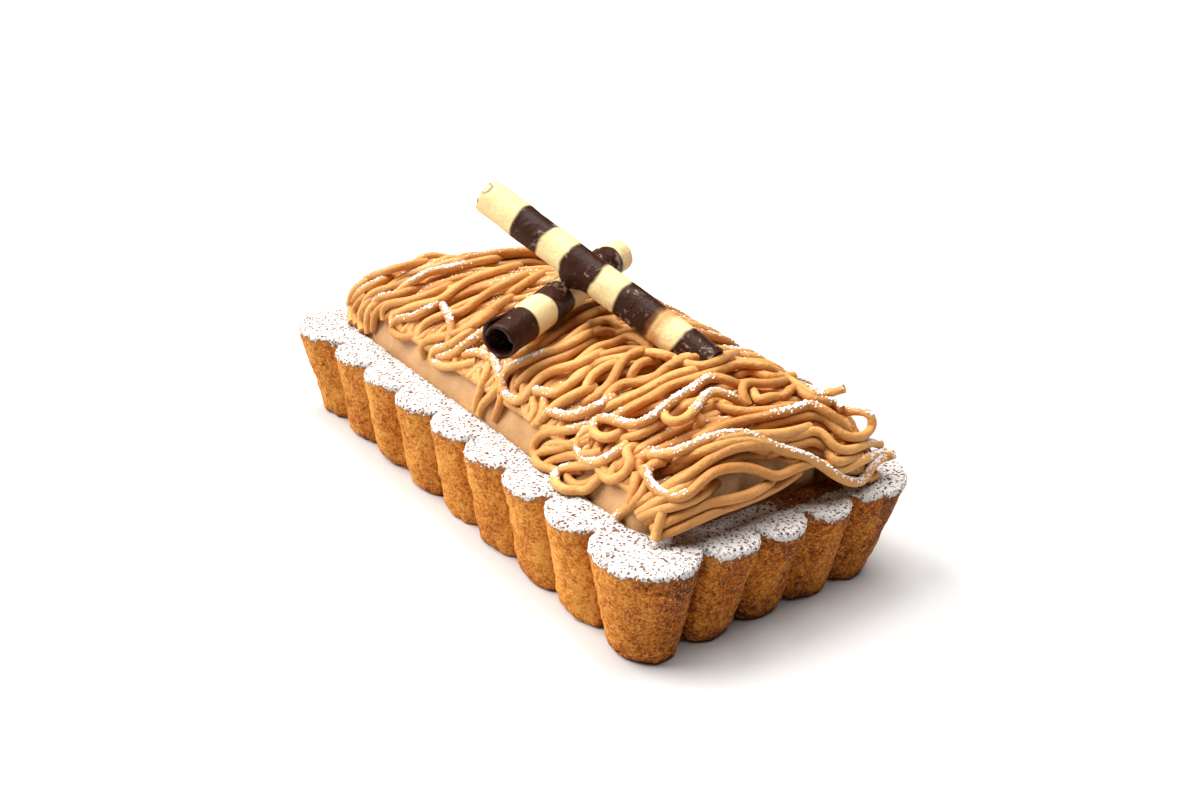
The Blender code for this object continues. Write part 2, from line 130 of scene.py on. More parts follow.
def makePiece(name, verts, faces, material, smooth=True):
    # mesh object from millimetre points, at the origin
    mesh = bpy.data.meshes.new(name)
    mesh.from_pydata((np.asarray(verts, float) * mm).tolist(), [], faces)
    mesh.materials.append(material)
    mesh.polygons.foreach_set("use_smooth", [smooth] * len(mesh.polygons))
    mesh.update()
    piece = bpy.data.objects.new(name, mesh)
    bpy.context.scene.collection.objects.link(piece)
    return piece


def addValues(mesh, name, values):
    layer = mesh.attributes.new(name, "FLOAT", "POINT")
    layer.data.foreach_set("value", np.asarray(values, np.float32))


def readPoints(mesh):
    flat = np.zeros(len(mesh.vertices) * 3, np.float32)
    mesh.vertices.foreach_get("co", flat)
    return flat.reshape(-1, 3).astype(float) / mm


def readNormals(mesh):
    flat = np.zeros(len(mesh.vertices) * 3, np.float32)
    mesh.vertex_normals.foreach_get("vector", flat)
    return flat.reshape(-1, 3).astype(float)


def writePoints(mesh, points):
    mesh.vertices.foreach_set("co", (points * mm).astype(np.float32).ravel())
    mesh.update()


def bakeNodes(piece):
    # turns what the Geometry Nodes make into a plain mesh and drops the modifier
    graph = bpy.context.evaluated_depsgraph_get()
    solid = bpy.data.meshes.new_from_object(piece.evaluated_get(graph))
    piece.modifiers.clear()
    old = piece.data
    piece.data = solid
    bpy.data.meshes.remove(old)
    return piece


def useNodes(piece, tree, **values):
    # adds the tree to the piece and sets its inputs by socket identifier
    modifier = piece.modifiers.new(tree.name, "NODES")
    modifier.node_group = tree
    for item in tree.interface.items_tree:
        if item.item_type == "SOCKET" and item.in_out == "INPUT" and item.name in values:
            modifier[item.identifier] = values[item.name]
    return bakeNodes(piece)


def startTree(name, sockets):
    tree = bpy.data.node_groups.new(name, "GeometryNodeTree")
    tree.interface.new_socket("Geometry", in_out="INPUT", socket_type="NodeSocketGeometry")
    for label, kind, value in sockets:
        socket = tree.interface.new_socket(label, in_out="INPUT", socket_type=kind)
        if value is not None:
            socket.default_value = value
    tree.interface.new_socket("Geometry", in_out="OUTPUT", socket_type="NodeSocketGeometry")
    return tree, tree.nodes.new("NodeGroupInput"), tree.nodes.new("NodeGroupOutput")


# Camera: angle, lens and small roll of the photograph, image taken as 1200 x 800
cameraSet = {"azimuth": 48.5, "elevation": 25.84, "roll": 6.21, "distance": 256.2, "slide": (5.65, 16.34),
             "focal": 1230.91, "imageWidth": 1200, "imageHeight": 800, "sensor": 36.0}


def buildCamera(s):
    a, e, r = (math.radians(s[k]) for k in ("azimuth", "elevation", "roll"))
    back = Vector((math.sin(a) * math.cos(e), -math.cos(a) * math.cos(e), math.sin(e)))
    level = (-back).cross(Vector((0, 0, 1))).normalized()
    upright = level.cross(-back)
    right = level * math.cos(r) + upright * math.sin(r)
    up = upright * math.cos(r) - level * math.sin(r)
    place = (back * s["distance"] + right * s["slide"][0] + up * s["slide"][1]) * mm
    data = bpy.data.cameras.new("camera")
    data.sensor_width = s["sensor"]
    data.lens = s["focal"] * s["sensor"] / s["imageWidth"]
    data.clip_start, data.clip_end = 0.01, 20
    data.dof.use_dof = False
    camera = bpy.data.objects.new("camera", data)
    camera.matrix_world = Matrix.Translation(place) @ Matrix((right, up, back)).transposed().to_4x4()
    bpy.context.scene.collection.objects.link(camera)
    bpy.context.scene.camera = camera
    return level


imageRight = buildCamera(cameraSet)
print("camera placed")


# Materials

def makePastry():
    # Shortcrust baked golden: matt and sandy, with pale flour specks; an attribute makes it browner at the foot and
    # in random patches, and paints shade into the notches between the lobes and onto the end that faces +X.
    # Where the dust attribute is high it is hidden by icing sugar, broken by specks where the crust shows through,
    # darkened there as painted shadow between the grains.
    material, tree, shader, coord = startMaterial("baked_shortcrust_with_icing_sugar")
    place = coord.outputs["Object"]
    broad = addNode(tree, "ShaderNodeTexNoise", {"Vector": place, "Scale": perMm(7), "Detail": 3.0})
    sandy = addNode(tree, "ShaderNodeTexNoise", {"Vector": place, "Scale": perMm(0.55), "Detail": 4.0,
                                                 "Roughness": 0.65})
    crumb = addNode(tree, "ShaderNodeTexNoise", {"Vector": place, "Scale": perMm(1.4), "Detail": 3.0})
    # browning and painted shade: this attribute darkens the foot and random patches, and paints shade into the lobe
    # notches and the +X end
    browning_and_painted_shade = addNode(tree, "ShaderNodeAttribute", attribute_name="browning_and_painted_shade")
    tone = addNode(tree, "ShaderNodeMath", {0: broad, 1: 0.3}, operation="MULTIPLY")
    for part, share in ((crumb, 0.35), (sandy, 0.8), (browning_and_painted_shade, -0.3)):
        tone = addNode(tree, "ShaderNodeMath", {0: part.outputs["Fac"], 1: share, 2: tone}, operation="MULTIPLY_ADD")
    baked = addNode(tree, "ShaderNodeValToRGB", {"Fac": tone})
    fillRamp(baked.color_ramp, [(0.42, "#562a0c"), (0.53, "#9c5012"), (0.64, "#c8751e"), (0.78, "#e4a148")])
    speck = addNode(tree, "ShaderNodeTexVoronoi", {"Vector": place, "Scale": perMm(0.75), "Randomness": 1.0})
    flour = addNode(tree, "ShaderNodeMapRange", {"Value": speck, "From Min": 0.3, "From Max": 0.2, "To Max": 0.55})
    pale = addNode(tree, "ShaderNodeMix", {"Factor": flour, "A": baked, "B": linear("#e2ab5c")}, data_type="RGBA")
    dust = addNode(tree, "ShaderNodeAttribute", attribute_name="dust")
    grain = addNode(tree, "ShaderNodeTexNoise", {"Vector": place, "Scale": perMm(0.85), "Detail": 3.0,
                                                 "Roughness": 0.6})
    patch = addNode(tree, "ShaderNodeTexNoise", {"Vector": place, "Scale": perMm(2.6), "Detail": 1.0})
    cover = addNode(tree, "ShaderNodeMath", {0: grain, 1: 1.9, 2: dust.outputs["Fac"]}, operation="MULTIPLY_ADD")
    cover = addNode(tree, "ShaderNodeMath", {0: patch, 1: 0.5, 2: cover}, operation="MULTIPLY_ADD")
    sugared = addNode(tree, "ShaderNodeMapRange", {"Value": cover, "From Min": 1.76, "From Max": 1.84})
    bare = addNode(tree, "ShaderNodeTexVoronoi", {"Vector": place, "Scale": perMm(0.75), "Randomness": 1.0})
    thin = addNode(tree, "ShaderNodeMath", {0: patch, 1: -0.5, 2: bare}, operation="MULTIPLY_ADD")
    hole = addNode(tree, "ShaderNodeMapRange", {"Value": thin, "From Min": 0.0, "From Max": 0.08})
    sugared = addNode(tree, "ShaderNodeMath", {0: sugared, 1: hole}, operation="MULTIPLY")
    sieve = addNode(tree, "ShaderNodeTexNoise", {"Vector": place, "Scale": perMm(0.5), "Detail": 2.0})
    sieved = addNode(tree, "ShaderNodeMapRange", {"Value": sieve, "From Min": 0.33, "From Max": 0.43,
                                                  "To Min": 0.35})
    sugared = addNode(tree, "ShaderNodeMath", {0: sugared, 1: sieved}, operation="MULTIPLY")
    # painted shadow: under thick sugar the crust seen in the specks is made dark brown, partly crust colour and
    # partly shadow between the grains
    speck_crust_and_painted_shadow = addNode(tree, "ShaderNodeMix", {"Factor": dust.outputs["Fac"], "A": pale,
                                             "B": linear("#84573a")}, data_type="RGBA")
    coated = addNode(tree, "ShaderNodeMix", {"Factor": sugared, "A": speck_crust_and_painted_shadow,
                                             "B": linear("#ebe5e0")}, data_type="RGBA")
    tree.links.new(coated.outputs[2], shader.inputs["Base Color"])
    lift = addNode(tree, "ShaderNodeMath", {0: sugared, 1: 0.9, 2: sandy}, operation="MULTIPLY_ADD")
    lift = addNode(tree, "ShaderNodeMath", {0: crumb, 1: 0.8, 2: lift}, operation="MULTIPLY_ADD")
    bump = addNode(tree, "ShaderNodeBump", {"Height": lift, "Distance": 0.6 * mm, "Strength": 1.0})
    tree.links.new(bump.outputs["Normal"], shader.inputs["Normal"])
    shader.inputs["Roughness"].default_value = 0.85
    shader.inputs["Specular IOR Level"].default_value = 0.25
    return material


def makeCream():
    # Chestnut cream smoothed with a spatula: soft satin, faintly mottled.
    material, tree, shader, coord = startMaterial("chestnut_cream")
    place = coord.outputs["Object"]
    mottle = addNode(tree, "ShaderNodeTexNoise", {"Vector": place, "Scale": perMm(3.5), "Detail": 4.0})
    fine = addNode(tree, "ShaderNodeTexNoise", {"Vector": place, "Scale": perMm(0.5), "Detail": 2.0})
    colour = addNode(tree, "ShaderNodeValToRGB", {"Fac": mottle})
    fillRamp(colour.color_ramp, [(0.3, "#b58452"), (0.7, "#c59866")])
    tree.links.new(colour.outputs["Color"], shader.inputs["Base Color"])
    both = addNode(tree, "ShaderNodeMath", {0: mottle, 1: 2.0, 2: fine}, operation="MULTIPLY_ADD")
    bump = addNode(tree, "ShaderNodeBump", {"Height": both, "Distance": 0.25 * mm, "Strength": 0.5})
    tree.links.new(bump.outputs["Normal"], shader.inputs["Normal"])
    shader.inputs["Roughness"].default_value = 0.5
    shader.inputs["Subsurface Weight"].default_value = 0.15
    shader.inputs["Subsurface Radius"].default_value = (1.0, 0.5, 0.25)
    shader.inputs["Subsurface Scale"].default_value = 1.2 * mm
    return material


def makeNoodlePaste(name, light, dark):
    # Sieved chestnut paste pressed through a nozzle: slightly moist, finely grainy, with a few brown flecks
    # of skin, dusted where dust is high.
    material, tree, shader, coord = startMaterial(name)
    place = coord.outputs["Object"]
    shade = addNode(tree, "ShaderNodeAttribute", attribute_name="shade")
    mottle = addNode(tree, "ShaderNodeTexNoise", {"Vector": place, "Scale": perMm(5), "Detail": 3.0})
    fine = addNode(tree, "ShaderNodeTexNoise", {"Vector": place, "Scale": perMm(0.9), "Detail": 4.0})
    tone = addNode(tree, "ShaderNodeMath", {0: mottle, 1: 0.6, 2: shade.outputs["Fac"]}, operation="MULTIPLY_ADD")
    colour = addNode(tree, "ShaderNodeValToRGB", {"Fac": tone})
    fillRamp(colour.color_ramp, [(0.1, dark), (0.9, light)])
    husk = addNode(tree, "ShaderNodeTexVoronoi", {"Vector": place, "Scale": perMm(1.1), "Randomness": 1.0})
    fleck = addNode(tree, "ShaderNodeMapRange", {"Value": husk, "From Min": 0.16, "From Max": 0.08, "To Max": 0.55})
    paste = addNode(tree, "ShaderNodeMix", {"Factor": fleck, "A": colour, "B": linear("#7a4a22")}, data_type="RGBA")
    dust = addNode(tree, "ShaderNodeAttribute", attribute_name="dust")
    grain = addNode(tree, "ShaderNodeTexNoise", {"Vector": place, "Scale": perMm(0.8), "Detail": 3.0})
    upward = addNode(tree, "ShaderNodeSeparateXYZ", {"Vector": coord.outputs["Normal"]})
    drift = addNode(tree, "ShaderNodeTexNoise", {"Vector": place, "Scale": perMm(2.2), "Detail": 2.0})
    cover = addNode(tree, "ShaderNodeMath", {0: upward.outputs["Z"], 1: 0.5, 2: grain}, operation="MULTIPLY_ADD")
    cover = addNode(tree, "ShaderNodeMath", {0: drift, 1: 1.0, 2: cover}, operation="MULTIPLY_ADD")
    cover = addNode(tree, "ShaderNodeMath", {0: cover, 1: dust.outputs["Fac"]}, operation="MULTIPLY")
    sugared = addNode(tree, "ShaderNodeMapRange", {"Value": cover, "From Min": 1.38, "From Max": 1.47})
    coated = addNode(tree, "ShaderNodeMix", {"Factor": sugared, "A": paste,
                                             "B": linear("#f0ebe6")}, data_type="RGBA")
    tree.links.new(coated.outputs[2], shader.inputs["Base Color"])
    lift = addNode(tree, "ShaderNodeMath", {0: sugared, 1: 0.8, 2: fine}, operation="MULTIPLY_ADD")
    bump = addNode(tree, "ShaderNodeBump", {"Height": lift, "Distance": 0.35 * mm, "Strength": 0.9})
    tree.links.new(bump.outputs["Normal"], shader.inputs["Normal"])
    shader.inputs["Roughness"].default_value = 0.58
    shader.inputs["Specular IOR Level"].default_value = 0.35
    shader.inputs["Subsurface Weight"].default_value = 0.12
    shader.inputs["Subsurface Radius"].default_value = (1.0, 0.45, 0.2)
    shader.inputs["Subsurface Scale"].default_value = 0.8 * mm
    return material


def makeChocolate(name, bands, smudged):
    # Thin chocolate rolled up warm: dark and cream bands with wavy borders, satin, scuffed by light specks.
    material, tree, shader, coord = startMaterial(name)
    place = coord.outputs["Object"]
    along = addNode(tree, "ShaderNodeAttribute", attribute_name="along")
    sway = addNode(tree, "ShaderNodeTexNoise", {"Vector": place, "Scale": perMm(4.5), "Detail": 2.0})
    edge = addNode(tree, "ShaderNodeMath", {0: sway, 1: 0.03, 2: along.outputs["Fac"]}, operation="MULTIPLY_ADD")
    stripe = addNode(tree, "ShaderNodeValToRGB", {"Fac": edge})
    stops = []
    for k, (start, kind) in enumerate(bands):
        colour = {"dark": "#34190d", "cream": "#e8cf98"}[kind]
        if k:
            stops.append((start + 0.015 + 0.005, colour))
            stops.insert(-1, (start + 0.015 - 0.005, stops[-2][1]))
        else:
            stops.append((0.0, colour))
    fillRamp(stripe.color_ramp, stops)
    speck = addNode(tree, "ShaderNodeTexNoise", {"Vector": place, "Scale": perMm(0.8), "Detail": 3.0})
    patch = addNode(tree, "ShaderNodeTexNoise", {"Vector": place, "Scale": perMm(4), "Detail": 2.0})
    scuff = addNode(tree, "ShaderNodeMath", {0: speck, 1: patch}, operation="MULTIPLY")
    scuff = addNode(tree, "ShaderNodeMapRange", {"Value": scuff, "From Min": 0.31, "From Max": 0.4, "To Max": 0.45})
    marked = addNode(tree, "ShaderNodeMix", {"Factor": scuff, "A": stripe, "B": linear("#b99f88")}, data_type="RGBA")
    away = addNode(tree, "ShaderNodeMath", {0: along.outputs["Fac"], 1: smudged[0]}, operation="SUBTRACT")
    away = addNode(tree, "ShaderNodeMath", {0: away}, operation="ABSOLUTE")
    smear = addNode(tree, "ShaderNodeMapRange", {"Value": away, "From Min": smudged[1], "From Max": 0.0})
    stain = addNode(tree, "ShaderNodeMath", {0: smear, 1: patch}, operation="MULTIPLY")
    stain = addNode(tree, "ShaderNodeMapRange", {"Value": stain, "From Min": 0.1, "From Max": 0.45,
                                                 "To Max": smudged[2]})
    stained = addNode(tree, "ShaderNodeMix", {"Factor": stain, "A": marked,
                                              "B": linear("#b87a3c")}, data_type="RGBA")
    tree.links.new(stained.outputs[2], shader.inputs["Base Color"])
    rough = addNode(tree, "ShaderNodeMath", {0: speck, 1: 0.5, 2: patch}, operation="MULTIPLY_ADD")
    bump = addNode(tree, "ShaderNodeBump", {"Height": rough, "Distance": 0.4 * mm, "Strength": 0.8})
    tree.links.new(bump.outputs["Normal"], shader.inputs["Normal"])
    shader.inputs["Roughness"].default_value = 0.42
    shader.inputs["Specular IOR Level"].default_value = 0.14
    shader.inputs["Subsurface Weight"].default_value = 0.08
    shader.inputs["Subsurface Radius"].default_value = (1.0, 0.8, 0.5)
    shader.inputs["Subsurface Scale"].default_value = 0.8 * mm
    return material


def makeSugar():
    # Icing sugar fallen in small clumps: bright, dull white.
    material, tree, shader, coord = startMaterial("icing_sugar")
    tint = addNode(tree, "ShaderNodeTexNoise", {"Vector": coord.outputs["Object"], "Scale": perMm(1.5)})
    colour = addNode(tree, "ShaderNodeValToRGB", {"Fac": tint})
    fillRamp(colour.color_ramp, [(0.3, "#e6e0da"), (0.6, "#f2eeea")])
    tree.links.new(colour.outputs["Color"], shader.inputs["Base Color"])
    shader.inputs["Roughness"].default_value = 0.9
    return material


pastryFinish = makePastry()
creamFinish = makeCream()
noodleFinish = makeNoodlePaste("chestnut_paste", "#dea35d", "#b57435")
sugarFinish = makeSugar()
print("materials made")


# Fluted shell: its solid's reach and height, with deeper notches between the lobes, as the photograph shows
shellSet = {
    "height": 20.3, "lobes": 7, "endLobes": 3, "lobeSteps": 30, "cornerSteps": 44, "seed": 23,
    "rim": dict(valleyX=55.3, valleyY=29.7, longPitch=12.0, endPitch=11.6, bulge=5.1,
                cornerX=50.4, cornerY=25.9, cornerRx=9.2, cornerRy=10.0, shift=-0.6),
    "foot": dict(valleyX=52.5, valleyY=26.1, longPitch=12.6, endPitch=12.1, bulge=3.6,
                 cornerX=50.1, cornerY=23.8, cornerRx=6.0, cornerRy=6.0, shift=0.0),
    "cavityX": 49.8, "cavityY": 24.8, "cavityCorner": 6.0, "cavitySlope": 2.0, "floor": 4.0,
    "wallRows": 40, "rimRows": 16, "rounding": 1.1, "lip": 0.7,
    "footEdge": [(0.0, 1.1), (0.12, 0.55), (0.4, 0.2), (0.8, 0.05)],  # heights and insets of the foot's rounding
}


def lobeLine(start, end, outward, bulge, steps):
    turn = np.pi * np.arange(steps) / steps
    middle, half = (start + end) / 2, (end - start) / 2
    return middle - np.outer(np.cos(turn), half) + np.outer(np.sin(turn) * bulge, outward)


def cornerLine(start, end, centre, rx, ry, steps):
    first = math.atan2((start[1] - centre[1]) / ry, (start[0] - centre[0]) / rx)
    last = math.atan2((end[1] - centre[1]) / ry, (end[0] - centre[0]) / rx)
    if last < first:
        last += 2 * math.pi
    growStart = np.linalg.norm(start - centre) / math.hypot(rx * math.cos(first), ry * math.sin(first))
    growEnd = np.linalg.norm(end - centre) / math.hypot(rx * math.cos(last), ry * math.sin(last))
    t = np.arange(steps) / steps
    angle = first + (last - first) * t
    grow = 1 + (growStart - 1) * np.maximum(0, 1 - 4 * t) + (growEnd - 1) * np.maximum(0, 4 * t - 3)
    return centre + np.stack([rx * np.cos(angle), ry * np.sin(angle)], 1) * grow[:, None]


def shellLine(level, unevenness, s):
    longEnd, shortEnd = level["longPitch"] * s["lobes"] / 2, level["endPitch"] * s["endLobes"] / 2
    vx, vy, shift = level["valleyX"], level["valleyY"], level["shift"]
    point = lambda x, y: np.array([x, y], float)
    corners = [point(-longEnd, -vy), point(longEnd, -vy), point(vx, -shortEnd + shift), point(vx, shortEnd + shift),
               point(longEnd, vy), point(-longEnd, vy), point(-vx, shortEnd), point(-vx, -shortEnd)]
    outward = [point(0, -1), point(1, 0), point(0, 1), point(-1, 0)]
    signs = [(1, -1), (1, 1), (-1, 1), (-1, -1)]
    parts, lobe = [], 0
    for side in range(4):
        a, b = corners[2 * side], corners[2 * side + 1]
        count = s["lobes"] if side % 2 == 0 else s["endLobes"]
        for k in range(count):
            parts.append(lobeLine(a + (b - a) * k / count, a + (b - a) * (k + 1) / count, outward[side],
                                  level["bulge"] * unevenness[lobe], s["lobeSteps"]))
            lobe += 1
        centre = point(signs[side][0] * level["cornerX"], signs[side][1] * level["cornerY"])
        parts.append(cornerLine(b, corners[(2 * side + 2) % 8], centre, level["cornerRx"], level["cornerRy"],
                                s["cornerSteps"]))
    return np.concatenate(parts)


def insetLine(line, amount):
    along = np.roll(line, -1, 0) - np.roll(line, 1, 0)
    along /= np.linalg.norm(along, axis=1)[:, None]
    return line + np.stack([-along[:, 1], along[:, 0]], 1) * amount


def mouthLine(line, halfX, halfY, corner):
    # nearest points on the rounded rectangle of the cavity
    cx = np.clip(line[:, 0], corner - halfX, halfX - corner)
    cy = np.clip(line[:, 1], corner - halfY, halfY - corner)
    away = np.stack([line[:, 0] - cx, line[:, 1] - cy], 1)
    away /= np.maximum(np.linalg.norm(away, axis=1), 1e-9)[:, None]
    return np.stack([cx, cy], 1) + away * corner


def buildShell(s):
    draw = random.Random(s["seed"])
    unevenness = [draw.uniform(0.93, 1.07) for _ in range(2 * (s["lobes"] + s["endLobes"]))]
    rim, foot = (shellLine(s[k], unevenness, s) for k in ("rim", "foot"))
    height, rounding = s["height"], s["rounding"]
    count = len(rim)
    rows = []

    def outerRow(z, inset):
        t = z / height
        line = insetLine(foot * (1 - t) + rim * t, inset)
        rows.append(np.column_stack([line, np.full(count, z)]))

    for z, inset in s["footEdge"]:
        outerRow(z, inset)
    for z in np.linspace(1.2, height - rounding, s["wallRows"]):
        outerRow(z, 0)
    for k in range(1, 5):
        turn = math.pi / 2 * k / 4
        outerRow(height - rounding * (1 - math.sin(turn)), rounding * (1 - math.cos(turn)))
    edge = rows[-1][:, :2]
    mouth = mouthLine(edge, s["cavityX"], s["cavityY"], s["cavityCorner"])
    lip = s["lip"]
    mouthLip = mouthLine(edge, s["cavityX"] + lip, s["cavityY"] + lip, s["cavityCorner"] + lip)
    for k in range(1, s["rimRows"] + 1):
        t = k / s["rimRows"]
        rows.append(np.column_stack([edge * (1 - t) + mouthLip * t, np.full(count, height)]))
    rows.append(np.column_stack([mouth * 0.6 + mouthLip * 0.4, np.full(count, height - 0.15)]))
    rows.append(np.column_stack([mouth, np.full(count, height - lip)]))
    fall = height - s["floor"]
    for k in range(1, 8):
        t = k / 7
        slope = s["cavitySlope"] * t
        inner = mouthLine(edge, s["cavityX"] - slope, s["cavityY"] - slope, s["cavityCorner"] - slope)
        rows.append(np.column_stack([inner, np.full(count, height - lip - (fall - lip) * t)]))
    piece = makePiece("fluted_crust", np.concatenate(rows), ringFaces(len(rows), count), pastryFinish)
    mesh = piece.data
    p, n = readPoints(mesh), readNormals(mesh)
    rimward = stepUp(p[:, 2], height - 1.6, height - 0.2)
    inside = mouthDepth(p[:, 0], p[:, 1], s) > 0.02
    coarse = softNoise(p, 6.0, 1) * 0.28 + softNoise(p, 2.4, 2) * 0.2 + softNoise(p, 1.15, 3) * 0.2
    low = stepUp(-p[:, 2], -2.2, -0.3)
    rough = coarse + low * softNoise(p, 1.3, 4) * 0.25
    p += n * (rough * np.where(inside, 0.25, 1.0) * (1 - 0.35 * rimward))[:, None]
    # sugar: thick on top, thinning over the edge, with small hollows
    spill = softNoise(p * (1, 1, 0.5), 2.2, 5) * 0.55 + softNoise(p, 0.9, 6) * 0.35
    dust = stepUp(p[:, 2] + spill, height - 1.9, height - 0.35)
    depth = mouthDepth(p[:, 0], p[:, 1], s) + softNoise(p, 1.5, 9) * 0.6
    bare = stepUp(p[:, 0], 44, 49) * stepUp(p[:, 1], -3, 8) * stepUp(depth, -4.6, -3.4)
    dust *= 1 - 0.9 * bare
    dust[inside & (p[:, 2] < height - 0.9)] = 0
    p[:, 2] += dust * (0.18 + 0.16 * softNoise(p, 1.1, 7)) * (n[:, 2] > 0.3)
    p[:, 2] = np.maximum(p[:, 2], 0.0)
    writePoints(mesh, p)
    valley = -softNoise(p * (1, 1, 0.35), 4.0, 8)
    # painted shade: faces turned towards +X, the end of the shell that lies in shade, are made browner
    shade = np.clip(n[:, 0], 0, 1) * stepUp(p[:, 0], 46, 53)
    # painted shade: the notches between the lobes, where shade falls, are made browner
    t = np.clip(p[:, 2] / height, 0, 1)
    valleyX, valleyY = (s["foot"][k] * (1 - t) + s["rim"][k] * t for k in ("valleyX", "valleyY"))
    outward = np.maximum(np.abs(p[:, 0]) - valleyX, np.abs(p[:, 1]) - valleyY)
    notch_painted_shade = 1 - stepUp(outward, 0.3, 2.2)
    browning_and_painted_shade = np.clip(0.25 * low + 0.25 * valley + 0.1 + 0.5 * shade + 0.5 * notch_painted_shade, 0, 1)
    addValues(mesh, "dust", dust)
    addValues(mesh, "browning_and_painted_shade", browning_and_painted_shade)
    return piece, dust


def mouthDepth(x, y, s, grow=0.0):
    # distance inside the cavity's edge, negative outside it
    corner = s["cavityCorner"]
    dx = np.abs(x) - (s["cavityX"] + grow - corner)
    dy = np.abs(y) - (s["cavityY"] + grow - corner)
    outside = np.hypot(np.maximum(dx, 0), np.maximum(dy, 0))
    return corner - outside - np.minimum(np.maximum(dx, dy), 0)


crust, crustDust = buildShell(shellSet)
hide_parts("tart_shell")
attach(crust, "root")
print("crust", len(crust.data.polygons))


# Cream mound, its solid's height and edge, with the lumps at the near end deeper
creamSet = {"edge": 19.4, "top": 31.0, "bank": 8.0, "bankWidth": 1.5, "power": 1.8, "lumpDepth": 3.4,
            "lumpPitch": 9.4, "rays": 260, "gap": 0.1,
            "rings": (0, 0.006, 0.014, 0.024, 0.036, 0.05, 0.07, 0.095, 0.125, 0.16, 0.2, 0.26, 0.34, 0.44, 0.56,
                      0.7, 0.85)}


def creamDepth(x, y):
    depth = mouthDepth(x, y, shellSet, -creamSet["gap"])
    lumps = np.abs(np.sin(np.pi * (y + 1.5) / creamSet["lumpPitch"])) ** 0.5
    return depth - creamSet["lumpDepth"] * (1 - lumps) * np.clip((x - 36) / 10, 0, 1)


def creamHeight(x, y):
    s = creamSet
    depth = np.maximum(0, creamDepth(x, y))
    bank = s["bank"] * (1 - np.exp(-depth / s["bankWidth"]))
    crown = np.minimum(1, depth / shellSet["cavityY"])
    dome = (s["top"] - s["edge"] - s["bank"]) * (1 - (1 - crown) ** s["power"]) ** (1 / s["power"])
    return s["edge"] + bank + dome


def buildCream(s):
    halfX, halfY = shellSet["cavityX"], shellSet["cavityY"]
    spine = halfX - halfY
    walk = np.linspace(0, 4 * spine + 2 * math.pi * halfY, s["rays"], endpoint=False)
    origins, directions = [], []
    for w in walk:
        if w < 2 * spine:
            origins.append((-spine + w, 0))
            directions.append((0, -1))
        elif w < 2 * spine + math.pi * halfY:
            turn = (w - 2 * spine) / halfY
            origins.append((spine, 0))
            directions.append((math.sin(turn), -math.cos(turn)))
        elif w < 4 * spine + math.pi * halfY:
            origins.append((spine - (w - 2 * spine - math.pi * halfY), 0))
            directions.append((0, 1))
        else:
            turn = (w - 4 * spine - math.pi * halfY) / halfY
            origins.append((-spine, 0))
            directions.append((-math.sin(turn), math.cos(turn)))
    o, d = np.array(origins, float), np.array(directions, float)
    near, far = np.zeros(len(o)), np.full(len(o), 60.0)
    for _ in range(40):
        middle = (near + far) / 2
        spot = o + d * middle[:, None]
        inside = mouthDepth(spot[:, 0], spot[:, 1], shellSet, -s["gap"]) > 0
        near, far = np.where(inside, middle, near), np.where(inside, far, middle)
    rows = []
    low = o + d * (near - 0.4)[:, None]
    rows.append(np.column_stack([low, np.full(len(o), s["edge"] - 5)]))
    for f in s["rings"]:
        spot = o + d * (near * (1 - f))[:, None]
        rows.append(np.column_stack([spot, creamHeight(spot[:, 0], spot[:, 1])]))
    piece = makePiece("chestnut_cream_mound", np.concatenate(rows), ringFaces(len(rows), len(o)), creamFinish)
    p, n = readPoints(piece.data), readNormals(piece.data)
    p += n * (softNoise(p, 9.0, 11) * 0.35 + softNoise(p, 3.5, 12) * 0.12)[:, None]
    writePoints(piece.data, p)
    return piece


cream = buildCream(creamSet)
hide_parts("chestnut_cream")
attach(cream, "root")
print("cream", len(cream.data.polygons))


# Rolled chocolate sticks, from the ends of their solids
rollSet = {
    "radius": 3.42, "bore": 2.6, "around": 72, "step": 0.5, "overlap": 1.12, "rough": 0.5,
    "lower": {"start": (7.0, -26.2, 39.1), "end": (-7.4, 12.5, 45.1), "seam": 2.2,
              "bands": [(0, "dark"), (0.185, "cream"), (0.33, "dark"), (0.47, "cream"), (0.62, "dark"),
                        (0.9, "cream")], "stain": (0.9, 0.05, 0.0), "lift": (0.0, 0.08, 0.9), "trim": -0.3},
    "upper": {"start": (-19.0, -12.9, 57.0), "end": (30.9, 4.1, 37.8), "seam": 5.1,
              "bands": [(0, "cream"), (0.165, "dark"), (0.288, "cream"), (0.388, "dark"), (0.52, "cream"),
                        (0.617, "dark"), (0.77, "cream"), (0.868, "dark")],
              "stain": (0.785, 0.05, 0.8), "lift": (0.43, 0.04, 1.5), "trim": 1.4},
}


def rollAxis(key):
    # start, length and direction of a stick
    start, end = (np.array(rollSet[key][k]) for k in ("start", "end"))
    length = np.linalg.norm(end - start)
    return start, length, (end - start) / length


